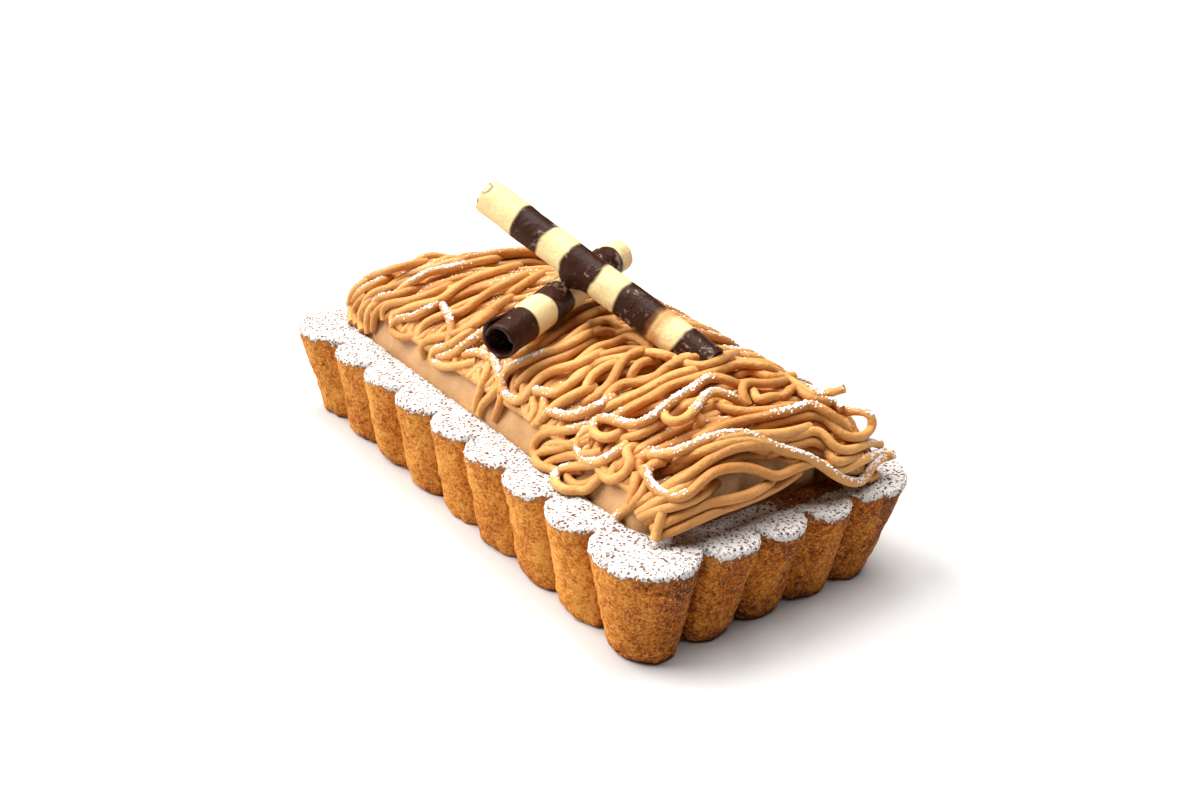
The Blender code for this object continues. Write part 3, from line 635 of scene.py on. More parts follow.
def buildRoll(name, key, seed):
    s, r = rollSet, rollSet[key]
    start, length, axis = rollAxis(key)
    across = np.cross(axis, (0, 0, 1))
    across /= np.linalg.norm(across)
    upward = np.cross(across, axis)
    finish = makeChocolate(name + "_chocolate", r["bands"], r["stain"])
    # the sheet's section: from the outer edge at the seam, once round and a little under itself
    turns = 2 * math.pi * s["overlap"]
    sheet = s["radius"] - s["bore"]
    angles = np.linspace(0, turns, s["around"])
    outer = s["radius"] - sheet * 0.42 * stepUp(angles, turns * 0.72, turns)
    wall = 0.5 * sheet + 0.18
    rows = int(length / s["step"]) + 1
    verts = []
    for f in np.linspace(0, 1, rows):
        centre = start + axis * length * f
        place, width, most = r["lift"]
        lift = most * math.exp(-((f - place) / width) ** 2) + 0.08 * math.sin(9 * f) ** 2
        flare = lift * np.exp(-angles / 0.5)
        ring = []
        for radii in (outer + flare, (outer - wall + flare * 0.9)[::-1]):
            a = angles if len(ring) == 0 else angles[::-1]
            spin = a + r["seam"] + 0.25 * f
            ring.append(centre + np.outer(np.cos(spin) * radii, across) + np.outer(np.sin(spin) * radii, upward))
        verts.append(np.concatenate(ring))
    count = 2 * s["around"]
    alongs = np.repeat(np.linspace(0, 1, rows), count)
    piece = makePiece(name, np.concatenate(verts), ringFaces(rows, count), finish)
    work = bmesh.new()
    work.from_mesh(piece.data)
    bmesh.ops.triangulate(work, faces=[f for f in work.faces if len(f.verts) > 4])
    bmesh.ops.recalc_face_normals(work, faces=work.faces[:])
    work.to_mesh(piece.data)
    work.free()
    p, n = readPoints(piece.data), readNormals(piece.data)
    radial = p - start - np.outer((p - start) @ axis, axis)
    radial /= np.maximum(np.linalg.norm(radial, axis=1), 1e-6)[:, None]
    p += radial * (softNoise(p, 4.0, 20 + seed) * 0.1 + softNoise(p, 1.6, 21 + seed) * 0.05)[:, None]
    ends = stepUp(np.abs(alongs - 0.5), 0.5 - 0.6 / length, 0.5)
    inward = np.where(alongs < 0.5, r["trim"], -0.5)
    p += np.outer(ends * (softNoise(p, 1.4, 22 + seed) * s["rough"] + inward), axis)
    writePoints(piece.data, p)
    addValues(piece.data, "along", alongs)
    return piece


lowerRoll = buildRoll("lower_chocolate_roll", "lower", 1)
upperRoll = buildRoll("upper_chocolate_roll", "upper", 2)
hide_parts("lower_stick")
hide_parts("upper_stick")
for roll in (lowerRoll, upperRoll):
    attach(roll, "root")
print("chocolate rolls", len(lowerRoll.data.polygons), len(upperRoll.data.polygons))


# Noodle heap: a bed over the cream, strands laid on it one after another
bedSet = {"left": 51.0, "right": 54.6, "front": 23.9, "back": 26.0, "base": 20.3, "rise": 11.0, "power": 2.5,
          "blend": 3.0, "ratio": 26.0}
heapSet = {"left": 54.0, "right": 57.3, "front": 25.6, "back": 28.0, "base": 20.3, "rise": 18.1, "power": 2.5,
           "blend": 3.0, "ratio": 26.0}
noodleSet = {"radius": 0.88, "spacing": 0.7, "contact": 1.62, "sides": 8, "slack": 45, "droop": 0.0015,
             "proud": 0.3, "give": 0.3, "under": 2.6, "clear": 3.2, "chunk": 16, "wander": 0.3, "tip": 0.45,
             "endClear": 2.2, "sideClear": 3.4}  # millimetres, but for sides, slack, give and chunk


def domeAt(x, y, s):
    # height and outward normal of a flat-topped dome: the bed or the heap's outer form
    width = np.where(y < 0, s["front"], s["back"])
    scale = width / s["ratio"]
    acrossX = np.where(x < 0, s["left"] + x, s["right"] - x) * scale
    acrossY = width - np.abs(y)
    ex, ey = np.exp(-acrossX / s["blend"]), np.exp(-acrossY / s["blend"])
    depth = np.clip(-np.log(ex + ey) * s["blend"], 0.02, width)
    u = np.clip(1 - depth / width, 0, 0.9999)
    z = s["base"] + s["rise"] * (1 - u ** s["power"]) ** (1 / s["power"])
    steep = s["rise"] / width * (1 - u ** s["power"]) ** (1 / s["power"] - 1) * u ** (s["power"] - 1)
    steep = np.minimum(steep, 12)
    dx = -steep * np.sign(x) * scale * ex / (ex + ey)
    dy = -steep * np.sign(y) * ey / (ex + ey)
    n = np.stack([-dx, -dy, np.ones_like(dx)], 1)
    return z, n / np.linalg.norm(n, axis=1)[:, None]


def arcTable(s, side):
    # distance along the dome's surface against distance from its middle
    steps = np.linspace(0, s[side] - 0.15, 500)
    still = np.full_like(steps, 2.0)
    x, y = {"left": (-steps, still), "right": (steps, still), "front": (still, -steps), "back": (still, steps)}[side]
    z, _ = domeAt(x, y, s)
    length = np.concatenate([[0], np.cumsum(np.hypot(np.diff(steps), np.diff(z)))])
    return length, steps


sides = ("left", "right", "front", "back")
arcs = {side: arcTable(bedSet, side) for side in sides}
heapArcs = {side: arcTable(heapSet, side) for side in sides}


def unroll(value, low, high):
    # surface distance to plain coordinate, low table for negative values
    lowPart = -np.interp(-value, arcs[low][0], arcs[low][1])
    highPart = np.interp(value, arcs[high][0], arcs[high][1])
    return np.where(value < 0, lowPart, highPart)


def rollUp(value, low, high):
    # plain coordinate on the heap's outer form to surface distance on the bed
    side = low if value < 0 else high
    length, steps = heapArcs[side]
    share = np.interp(abs(value), steps, length) / length[-1]
    return math.copysign(share * arcs[side][0][-1], value)


def edgeReach(a, side, level):
    # surface distance across, at length position a, where the bed has fallen to the given height
    table = arcs["front" if side < 0 else "back"]
    x = unroll(np.full(len(table[0]), a), "left", "right")
    z, _ = domeAt(x, table[1] * side, bedSet)
    found = np.nonzero(z < level)[0]
    return table[0][found[0]] if len(found) else table[0][-1]


def smoothLine(points, spacing):
    # Catmull-Rom curve through the points, resampled evenly; also the sample index of each given point
    points = np.asarray(points, float)
    padded = np.vstack([2 * points[0] - points[1], points, 2 * points[-1] - points[-2]])
    fine, marks = [], []
    t = np.linspace(0, 1, 12, endpoint=False)[:, None]
    for k in range(len(points) - 1):
        a, b, c, d = padded[k:k + 4]
        fine.append(0.5 * (2 * b + (c - a) * t + (2 * a - 5 * b + 4 * c - d) * t * t
                           + (3 * b - a - 3 * c + d) * t ** 3))
    fine.append(points[-1:])
    fine = np.concatenate(fine)
    run = np.concatenate([[0], np.cumsum(np.linalg.norm(np.diff(fine, axis=0), axis=1))])
    even = np.linspace(0, run[-1], max(4, int(run[-1] / spacing) + 1))
    marks = np.searchsorted(even, run[::12][:len(points)])
    return np.column_stack([np.interp(even, run, fine[:, k]) for k in range(points.shape[1])]), marks


class Heap:
    # keeps every laid strand point and settles new strands on top of them

    def __init__(self):
        self.points = np.zeros((0, 3))
        self.owner = np.zeros(0, int)
        self.order = np.zeros(0, int)

    def settle(self, flat, owner, first, before, proud):
        # flat: surface coordinates of one chunk; before: height of the sample ahead of it, or None;
        # proud: how far above the heap's outer form it may lie before it is pressed in
        x = unroll(flat[:, 0], "left", "right")
        y = unroll(flat[:, 1], "front", "back")
        z, n = domeAt(x, y, bedSet)
        base = np.column_stack([x, y, z])
        need = np.full(len(flat), noodleSet["radius"])
        contact = noodleSet["contact"]
        if len(self.points):
            low, high = base.min(0) - 7, base.max(0) + 7
            close = np.all((self.points > low) & (self.points < high), axis=1)
            close &= ~((self.owner == owner) & (self.order > first - 6))
            q = self.points[close]
            if len(q):
                gap = q[None] - base[:, None]
                up = np.einsum("ijk,ik->ij", gap, n)
                aside = np.einsum("ijk,ijk->ij", gap, gap) - up * up
                top = np.where(aside < contact ** 2, up + np.sqrt(np.maximum(contact ** 2 - aside, 0)), 0)
                need = np.maximum(need, top.max(1))
        outer, _ = domeAt(x, y, heapSet)
        cap = np.maximum((outer - z) * n[:, 2] - noodleSet["radius"] + proud, noodleSet["radius"])
        need = np.where(need > cap, cap + (need - cap) * noodleSet["give"], need)
        height = need.copy()
        if before is not None:
            height[0] = max(height[0], before - 0.15)
        for _ in range(noodleSet["slack"]):
            middle = (height[:-2] + height[2:]) / 2 - noodleSet["droop"]
            height[1:-1] = np.maximum(need[1:-1], middle)
        laid = base + n * height[:, None]
        laid = self.avoidRolls(laid)
        self.keep(laid, owner, first)
        return laid, height[-1]

    def settleSeen(self, levels, owner, first, before, tuckStart, tuckEnd):
        # levels: places of each sample, ever further out; takes the innermost that clears what lies there;
        # a tucked end goes down between the other strands
        count, last = levels.shape[1], len(levels) - 1
        need = np.full(count, levelSet["least"])
        contact = noodleSet["contact"]
        low, high = levels.min((0, 1)) - 3, levels.max((0, 1)) + 3
        close = np.all((self.points > low) & (self.points < high), axis=1)
        close &= ~((self.owner == owner) & (self.order > first - 6))
        q = self.points[close]
        if len(q):
            gaps = np.array([np.sqrt(((level[:, None] - q[None]) ** 2).sum(2)).min(1) for level in levels])
            gaps = np.minimum(gaps, self.rollGap(levels) + contact)
            done = np.zeros(count, bool)
            for j in range(last, -1, -1):
                touch = (gaps[j] < contact) & ~done
                wider = gaps[min(j + 1, last)] - gaps[j]
                part = np.clip((contact - gaps[j]) / np.maximum(wider, 0.05), 0, 1)
                need = np.where(touch, np.maximum(need, np.minimum(j + part, last)), need)
                done |= touch
        height = need.copy()
        if before is not None:
            height[0] = max(height[0], before - 0.3)
        for _ in range(noodleSet["slack"]):
            middle = (height[:-2] + height[2:]) / 2 - noodleSet["droop"]
            height[1:-1] = np.maximum(need[1:-1], middle)
        rows = np.arange(count)
        fall = np.zeros(count)
        for wanted, away in ((tuckStart, rows), (tuckEnd, rows[::-1])):
            if wanted:
                fall = np.maximum(fall, np.clip(1 - away / levelSet["dive"], 0, 1) ** 1.5)
        height = np.maximum(height - levelSet["diveLevels"] * fall, 0)
        inner = np.minimum(height.astype(int), last - 1)
        part = (height - inner)[:, None]
        laid = levels[inner, rows] * (1 - part) + levels[inner + 1, rows] * part
        sunken = self.rollGap(laid) < 3
        overRim = mouthDepth(laid[:, 0], laid[:, 1], shellSet) < 0.3
        laid[overRim, 2] = np.maximum(laid[overRim, 2], shellSet["height"] + noodleSet["radius"] + 0.2)
        laid = np.where(sunken[:, None], laid, self.avoidRolls(laid.copy()))
        self.keep(laid, owner, first)
        return laid, height[-1]

    def rollGap(self, spots):
        # room between strands and the sunken end of the upper roll, which they lie in front of
        start, length, axis = rollAxis("upper")
        t = (spots - start) @ axis
        aside = np.linalg.norm(spots - start - t[..., None] * axis, axis=-1)
        near = (t > length - 11) & (t < length + 0.6)
        return np.where(near, aside - rollSet["radius"] - noodleSet["radius"], 99)

    def keep(self, laid, owner, first):
        self.points = np.vstack([self.points, laid])
        self.owner = np.concatenate([self.owner, np.full(len(laid), owner)])
        self.order = np.concatenate([self.order, first + np.arange(len(laid))])

    def avoidRolls(self, laid):
        # strands pass under the chocolate rolls
        for key in ("lower", "upper"):
            start, length, axis = rollAxis(key)
            t = (laid - start) @ axis
            foot = start + np.outer(t, axis)
            clear = rollSet["radius"] + noodleSet["radius"] + 0.05
            flatGap = np.hypot(laid[:, 0] - foot[:, 0], laid[:, 1] - foot[:, 1])
            under = foot[:, 2] - np.sqrt(np.maximum(clear ** 2 - flatGap ** 2, 0))
            hit = (np.linalg.norm(laid - foot, axis=1) < clear) & (t > -0.9) & (t < length + 0.9)
            laid[hit, 2] = np.minimum(laid[hit, 2], under[hit])
        return laid


heap = Heap()
strands = []


def slantAt(a):
    # crossings lean along the length over the middle and run square across at the ends
    return 0.3 * max(0.0, 1 - (abs(a - 2) / 50) ** 3)


def layRibbons(coat, draw):
    # one coat: a nozzle with several holes goes back and forth across the heap
    holes = coat["holes"]
    a, side, passes = coat["first"], 1, []
    while a < coat["last"]:
        edge = coat["edge"] + draw.uniform(-coat["edgeVary"], coat["edgeVary"])
        crest = domeAt(unroll(np.array([a]), "left", "right"), np.array([1.0]), bedSet)[0][0]
        edge = min(edge, crest - 1.5)
        lean = slantAt(a)
        reachBack = edgeReach(min(a + lean * 28, 57), 1, edge + coat["backLift"])
        reachFront = edgeReach(max(min(a - lean * 28, 57), -54), -1, edge)
        if a > coat["halfFrom"]:  # only the back half, as the traced strands cover the near end
            reachFront = -coat["halfAcross"] + draw.uniform(-2, 2)
        ends = (-reachFront, reachBack) if side > 0 else (reachBack, -reachFront)
        wave, phase, length = draw.uniform(0.3, 1.3), draw.uniform(0, 6.28), draw.uniform(24, 44)
        spots = []
        for k in range(9):
            across = ends[0] + (ends[1] - ends[0]) * k / 8
            spots.append((a + lean * across + wave * math.sin(phase + across * 6.28 / length), across))
        passes.append(spots)
        a += coat["pitch"] * draw.uniform(0.85, 1.15)
        side = -side
    names = [len(strands) + k for k in range(len(holes))]
    paths = []
    for offset in holes:
        wander = [draw.gauss(0, noodleSet["wander"]) for _ in range(400)]
        line, cuts, j = [], [0], 0
        for k, spots in enumerate(passes):
            for spot in spots:
                line.append((spot[0] + offset[0] + wander[j], spot[1] + offset[1]))
                j += 1
            if k + 1 < len(passes):
                a0, a1 = spots[-1], passes[k + 1][0]
                way = 1 if a0[1] > 0 else -1
                bulge = abs(a1[0] - a0[0]) * 0.5 * draw.uniform(0.7, 1.2)
                line.append((a0[0] * 0.8 + a1[0] * 0.2 + offset[0], a0[1] + way * bulge * 0.8 + offset[1]))
                line.append(((a0[0] + a1[0]) / 2 + offset[0] + wander[-j], max(-33, min(35, (a0[1] + a1[1]) / 2
                             + way * bulge * 1.25)) + offset[1]))
                line.append((a0[0] * 0.2 + a1[0] * 0.8 + offset[0], a1[1] + way * bulge * 0.8 + offset[1]))
            cuts.append(len(line) - 1)
        samples, marks = smoothLine(line, noodleSet["spacing"])
        for axis, low, high, clear in ((0, "left", "right", "endClear"), (1, "front", "back", "sideClear")):
            samples[:, axis] = np.clip(samples[:, axis], noodleSet[clear] - arcs[low][0][-1],
                                       arcs[high][0][-1] - noodleSet[clear])
        paths.append((samples, [marks[c] for c in cuts]))
        strands.append([])
    ends = [None] * len(holes)
    for k in range(len(passes)):
        for h, (samples, cuts) in enumerate(paths):
            a, b = cuts[k], cuts[k + 1] + (k + 1 == len(passes))
            if b - a < 3:
                continue
            flat = samples[a:b]
            away = np.sqrt(((flat[:, None] - seenSpots[None]) ** 2).sum(2).min(1))
            hidden = stepUp(-away, -noodleSet["clear"] - 1.5, -noodleSet["clear"])
            proud = noodleSet["proud"] - noodleSet["under"] * hidden
            laid, ends[h] = heap.settle(flat, names[h], a, ends[h], proud)
            strands[names[h]].append(laid)


# Strands that the photograph shows, from below upwards: pixels of the 1200 x 800 picture from end to end, and
# the shares of the length between which sugar lies on it
seenStrands = [
    # far right end and foot of the right end
    ([(662, 535), (680, 528), (700, 519), (720, 510), (740, 503), (760, 495), (780, 485), (797, 473)], (0, 0)),
    ([(648, 520), (662, 513), (675, 506), (686, 499)], (0, 0)),
    ([(655, 528), (672, 519), (690, 511), (708, 504), (726, 500), (744, 496), (760, 489), (774, 480)], (0, 0)),
    ([(642, 516), (658, 510), (674, 506), (690, 501), (704, 494), (716, 484)], (0, 0)),
    ([(617, 518), (627, 508), (640, 501), (655, 495), (668, 486), (682, 477), (700, 466), (716, 458), (738, 451)],
     (0, 0.06)),
    ([(688, 488), (700, 476), (715, 466), (738, 458), (760, 456), (782, 457), (800, 461)], (0, 0)),
    ([(666, 472), (680, 465), (697, 456), (715, 450), (735, 446), (755, 448), (775, 455)], (0, 0)),
    ([(664, 497), (663, 510), (660, 522), (655, 538)], (0.8, 1)),
    ([(636, 476), (634, 488), (631, 500)], (0, 0)),
    ([(650, 478), (645, 488), (640, 497), (630, 507)], (0, 0)),
    ([(800, 466), (815, 462), (828, 466), (842, 470), (858, 462), (872, 456), (884, 452)], (0.8, 1)),
    ([(768, 454), (785, 449), (800, 444), (812, 441), (823, 445), (829, 455), (836, 463), (848, 459), (860, 456)],
     (0, 0)),
    ([(745, 442), (765, 440), (785, 438), (800, 435), (815, 430), (825, 436), (833, 446), (845, 451), (858, 447),
      (870, 442), (879, 444)], (0.9, 1)),
    ([(838, 413), (850, 411), (862, 411), (870, 414), (873, 421), (871, 430), (864, 436), (853, 438), (843, 435),
      (835, 428), (827, 420), (818, 415), (806, 416), (795, 418), (780, 421), (760, 426), (745, 430)], (0, 0.2)),
    ([(640, 512), (655, 503), (668, 496), (682, 488), (696, 478), (712, 470)], (0, 0)),
    ([(668, 488), (684, 478), (700, 467), (716, 456), (735, 448), (755, 445), (775, 448)], (0, 0)),
    ([(676, 462), (692, 455), (710, 449), (728, 443), (748, 441), (768, 444), (786, 452), (800, 458)], (0, 0)),
    ([(700, 448), (718, 440), (738, 436), (758, 435), (778, 434), (795, 431), (808, 427)], (0, 0)),
    # crest and right slope
    ([(706, 403), (718, 406), (732, 410), (746, 412), (762, 411), (780, 409), (795, 406)], (0, 0)),
    ([(690, 430), (703, 424), (700, 418), (690, 412)], (0, 0)),
    ([(740, 362), (760, 368), (775, 374), (790, 380), (803, 389), (813, 397), (825, 394), (835, 391), (842, 389)],
     (0.75, 1)),
    ([(770, 397), (783, 398), (788, 392), (793, 386), (801, 391), (811, 399), (822, 402), (832, 401), (840, 408)],
     (0.8, 1)),
    ([(668, 362), (680, 358), (692, 356), (706, 355), (720, 356), (735, 360), (750, 365), (766, 371)], (0, 0)),
    ([(664, 352), (676, 360), (690, 365), (704, 366), (716, 362), (728, 355), (738, 352)], (0, 0)),
    ([(730, 380), (737, 378), (741, 373), (748, 370), (756, 371), (766, 376), (780, 378), (792, 376)], (0, 0)),
    ([(747, 403), (743, 395), (741, 387), (744, 383), (752, 383), (766, 384), (780, 382), (792, 379)], (0, 0)),
    ([(751, 385), (754, 394), (758, 402), (765, 398), (775, 396), (784, 398)], (0, 0)),
    # crest over the middle
    ([(500, 300), (515, 290), (532, 279), (550, 270)], (0, 0)),
    ([(520, 345), (535, 338), (550, 328), (565, 318), (582, 308), (600, 302)], (0, 0)),
    ([(505, 357), (520, 352), (536, 347), (552, 336), (568, 326), (585, 316), (603, 308)], (0, 0)),
    ([(560, 352), (575, 345), (590, 334), (603, 331), (615, 333), (622, 340)], (0, 0)),
    ([(540, 358), (560, 347), (575, 335), (590, 325), (603, 320), (613, 321), (620, 328), (625, 337)], (0, 0)),
    ([(520, 382), (532, 371), (548, 363), (565, 357), (582, 346), (600, 340)], (0, 0)),
    ([(560, 371), (575, 365), (590, 352), (600, 346), (615, 343), (628, 336), (642, 339), (652, 344), (660, 350)],
     (0, 0)),
    ([(582, 372), (592, 360), (605, 355), (625, 350), (640, 350), (655, 353), (670, 359)], (0, 0)),
    ([(562, 396), (574, 379), (590, 367), (605, 361), (622, 358), (636, 355), (650, 352), (665, 355), (682, 361)],
     (0, 0)),
    ([(577, 402), (584, 394), (588, 381), (598, 371), (612, 364), (625, 360)], (0, 0)),
    ([(628, 385), (632, 373), (638, 364), (648, 360), (658, 362), (663, 367)], (0, 0)),
    ([(580, 405), (592, 400), (603, 391), (612, 381), (618, 368), (627, 357), (640, 351), (655, 350)], (0, 0)),
    ([(600, 416), (605, 401), (613, 390), (625, 383), (640, 383), (655, 378), (666, 368), (682, 360), (700, 357),
      (720, 357), (735, 361)], (0, 0)),
    ([(590, 420), (605, 408), (625, 400), (640, 393), (655, 385), (672, 376), (690, 371), (708, 368)], (0, 0)),
    ([(612, 419), (630, 408), (650, 398), (666, 388), (682, 382), (700, 377), (720, 370), (740, 364), (760, 365),
      (782, 374)], (0, 0.08)),
    ([(620, 440), (640, 434), (658, 424), (672, 414), (690, 404), (706, 399)], (0, 0)),
    # front, middle to right
    ([(600, 452), (586, 455), (572, 455), (558, 458), (549, 463), (546, 469)], (0, 0)),
    ([(588, 441), (572, 446), (558, 443), (547, 446), (541, 453)], (0, 0)),
    ([(600, 476), (589, 484), (576, 486), (567, 480), (569, 472), (581, 470)], (0, 0)),
    ([(565, 434), (552, 431), (541, 434), (535, 442), (533, 452), (536, 460)], (0, 0)),
    ([(592, 436), (578, 441), (565, 447), (550, 449), (540, 453), (534, 461), (537, 470), (548, 473), (561, 472)],
     (0, 0)),
    ([(545, 428), (560, 431), (576, 429), (590, 424)], (0.6, 1)),
    ([(606, 462), (590, 465), (575, 466), (562, 469), (556, 475), (553, 484), (558, 492), (570, 496), (583, 493),
      (593, 485), (601, 476)], (0.3, 0.5)),
    ([(636, 446), (624, 450), (629, 457), (631, 465), (625, 473), (615, 480), (605, 479), (600, 470)], (0, 0)),
    ([(623, 431), (612, 437), (602, 438), (594, 434), (592, 427), (597, 420), (605, 418), (616, 421), (628, 425)],
     (0.5, 0.9)),
    ([(594, 428), (585, 430), (580, 437), (577, 447), (579, 456), (586, 462), (597, 463), (607, 458), (617, 452),
      (626, 445)], (0.1, 0.9)),
    # front, under the lower roll
    ([(490, 360), (487, 372), (482, 386), (478, 398), (476, 408)], (0, 0)),
    ([(502, 384), (492, 396), (483, 403), (480, 413)], (0, 0)),
    ([(502, 398), (499, 408), (496, 418)], (0, 0)),
    ([(533, 398), (536, 408), (532, 419)], (0, 0)),
    ([(602, 352), (585, 361), (570, 366), (555, 370), (541, 377), (533, 386), (527, 396), (518, 402), (510, 400),
      (504, 392), (502, 382), (505, 372), (515, 365), (530, 359), (545, 353), (560, 349), (580, 338), (598, 329)],
     (0.42, 0.76)),
    ([(590, 367), (577, 379), (564, 388), (553, 395), (543, 391), (537, 391)], (0.8, 1)),
    ([(545, 394), (545, 404), (543, 414), (540, 422)], (0, 0.2)),
    ([(593, 387), (580, 392), (568, 398), (556, 405), (546, 415), (536, 424)], (0.8, 1)),
    ([(612, 398), (597, 407), (583, 413), (570, 417), (558, 414), (550, 412)], (0.1, 1)),
    ([(493, 358), (497, 368), (500, 378), (501, 390)], (0, 0.9)),
    # left part
    ([(352, 322), (351, 310), (354, 299), (363, 290), (376, 283), (389, 278), (400, 272)], (0.4, 0.75)),
    ([(366, 322), (364, 308), (368, 297), (380, 290), (394, 287), (408, 281)], (0, 0)),
    ([(357, 324), (354, 313), (358, 303), (366, 296)], (0, 0)),
    ([(362, 329), (360, 319), (363, 309), (370, 300), (380, 294)], (0, 0)),
    ([(368, 331), (367, 321), (369, 311), (376, 303), (388, 298)], (0, 0)),
    ([(374, 329), (374, 319), (378, 310), (386, 304), (396, 301)], (0, 0)),
    ([(350, 304), (352, 293), (360, 284), (370, 279)], (0.2, 0.8)),
    ([(360, 290), (363, 281), (374, 275), (388, 271), (404, 266), (425, 262)], (0, 0.3)),
    ([(374, 314), (373, 303), (382, 297), (396, 295), (412, 290), (425, 285)], (0.1, 0.5)),
    ([(384, 318), (383, 308), (392, 303), (408, 301), (425, 296), (440, 290), (452, 284)], (0, 0)),
    ([(398, 293), (406, 286), (416, 280), (427, 273), (441, 270), (456, 267), (472, 263), (492, 259), (512, 256)],
     (0, 0.6)),
    ([(398, 313), (412, 307), (428, 303), (441, 300), (452, 291), (464, 283), (480, 276), (500, 270), (525, 264)],
     (0, 0)),
    ([(416, 336), (402, 338), (392, 332), (392, 324), (400, 318), (412, 318), (423, 312), (434, 307), (446, 300)],
     (0.35, 0.85)),
    ([(421, 334), (423, 325), (433, 319), (446, 314), (460, 313), (474, 303), (488, 293), (505, 284), (525, 275)],
     (0, 0)),
    ([(441, 304), (447, 312), (451, 324), (451, 336), (448, 346)], (0, 0.45)),
    ([(462, 331), (476, 321), (490, 311), (503, 302), (518, 294)], (0, 0)),
    ([(425, 357), (421, 347), (427, 340), (441, 337), (456, 334), (471, 327), (486, 317), (500, 307)], (0, 0)),
    ([(475, 362), (460, 366), (445, 367), (433, 363), (431, 355), (437, 349), (449, 346), (463, 336), (478, 328)],
     (0.35, 0.7)),
    ([(440, 356), (452, 355), (461, 348), (470, 341), (480, 334), (490, 326)], (0, 0.8)),
    ([(466, 355), (474, 352), (484, 354), (491, 361)], (0, 0.8)),
    # sugared ridges that lie on top of the right part
    ([(742, 403), (730, 396), (716, 392), (705, 395), (699, 404), (691, 414), (682, 421), (671, 422), (663, 416),
      (664, 408), (674, 402)], (0.1, 0.5)),
    ([(590, 427), (596, 420), (606, 418), (618, 422), (632, 425), (646, 421), (658, 413), (670, 403), (682, 395),
      (694, 388), (704, 380), (715, 377), (727, 380), (742, 387)], (0.05, 0.8)),
    ([(697, 439), (715, 430), (730, 424), (745, 420), (762, 417), (780, 413), (795, 409), (808, 404), (820, 408),
      (832, 415), (842, 424), (850, 435)], (0.45, 0.75)),
    ([(652, 455), (665, 454), (680, 451), (698, 443), (714, 437), (730, 434), (745, 434), (756, 438), (768, 444),
      (783, 450), (800, 455), (815, 461), (826, 469), (838, 477), (850, 482), (860, 483), (867, 475), (872, 465),
      (880, 459), (892, 455)], (0, 1)),
    ([(662, 462), (652, 464), (647, 470), (648, 479), (653, 487), (661, 493), (671, 498), (681, 497), (690, 493),
      (698, 485), (706, 477), (716, 471), (728, 468), (742, 467), (754, 469), (765, 473), (776, 477), (788, 472),
      (800, 466), (814, 462)], (0.08, 0.36)),
]
# ends of strands that show; every other end goes down between its neighbours
looseEnds = {(655, 538), (631, 500), (630, 507), (617, 518), (842, 389), (840, 408), (476, 408), (480, 413),
             (496, 418), (532, 419), (537, 391), (540, 422), (536, 424), (550, 412), (892, 455), (652, 455),
             (690, 412), (448, 346), (662, 535), (357, 324), (362, 329), (368, 331), (374, 329)}
# levels at which each line of sight is met, from the bed to just past the outer form, and how ends go down
levelSet = {"first": 0.15, "last": 1.35, "count": 15, "near": 170, "far": 320, "step": 0.4, "pixels": 4.0,
            "least": 5.0, "dive": 5, "diveLevels": 4.5}


def domeBetween(k):
    # dome between the bed (0) and the heap's outer form less a strand's radius (1)
    s = dict(heapSet)
    for key in ("left", "right", "front", "back", "rise"):
        s[key] = bedSet[key] + k * (heapSet[key] - noodleSet["radius"] - bedSet[key])
    return s


def sightPoints(pixels):
    # for every sample of a traced strand, where its line of sight meets each level of the heap
    view = bpy.context.scene.camera.matrix_world
    eye = np.array(view.translation) / mm
    across = (pixels[:, 0] - cameraSet["imageWidth"] / 2) / cameraSet["focal"]
    up = (cameraSet["imageHeight"] / 2 - pixels[:, 1]) / cameraSet["focal"]
    ways = np.column_stack([across, up, -np.ones(len(pixels))]) @ np.array(view.to_3x3()).T
    t = np.arange(levelSet["near"], levelSet["far"], levelSet["step"])
    spots = eye + ways[:, None] * t[None, :, None]
    rows = np.arange(len(pixels))
    beyond = np.maximum(np.maximum(-heapSet["left"] - spots[..., 0], spots[..., 0] - heapSet["right"]), 0)
    beyond += np.maximum(np.maximum(-heapSet["front"] - spots[..., 1], spots[..., 1] - heapSet["back"]), 0)
    found = []
    for k in np.linspace(levelSet["first"], levelSet["last"], levelSet["count"]):
        above = spots[..., 2] - domeAt(spots[..., 0], spots[..., 1], domeBetween(k))[0]
        above = np.where(spots[..., 2] < heapSet["base"], 99, above + 10 * beyond)
        below = above < 0
        hit = below.any(1)
        first = np.maximum(np.where(hit, below.argmax(1), above.argmin(1)), 1)
        now, before = above[rows, first], above[rows, first - 1]
        back = np.where(hit, now / np.minimum(now - before, -1e-6), 0)
        found.append(eye + ways * (t[first] - levelSet["step"] * np.clip(back, 0, 1))[:, None])
    return np.array(found)


seenLevels = []
for path, _ in seenStrands:
    seenLevels.append(sightPoints(smoothLine(path, levelSet["pixels"])[0]))
outerLevel = round((1 - levelSet["first"]) / (levelSet["last"] - levelSet["first"]) * (levelSet["count"] - 1))
seenSpots = np.array([(rollUp(p[0], "left", "right"), rollUp(p[1], "front", "back"))
                      for levels in seenLevels for p in levels[outerLevel]])
print("seen strands", len(seenLevels))


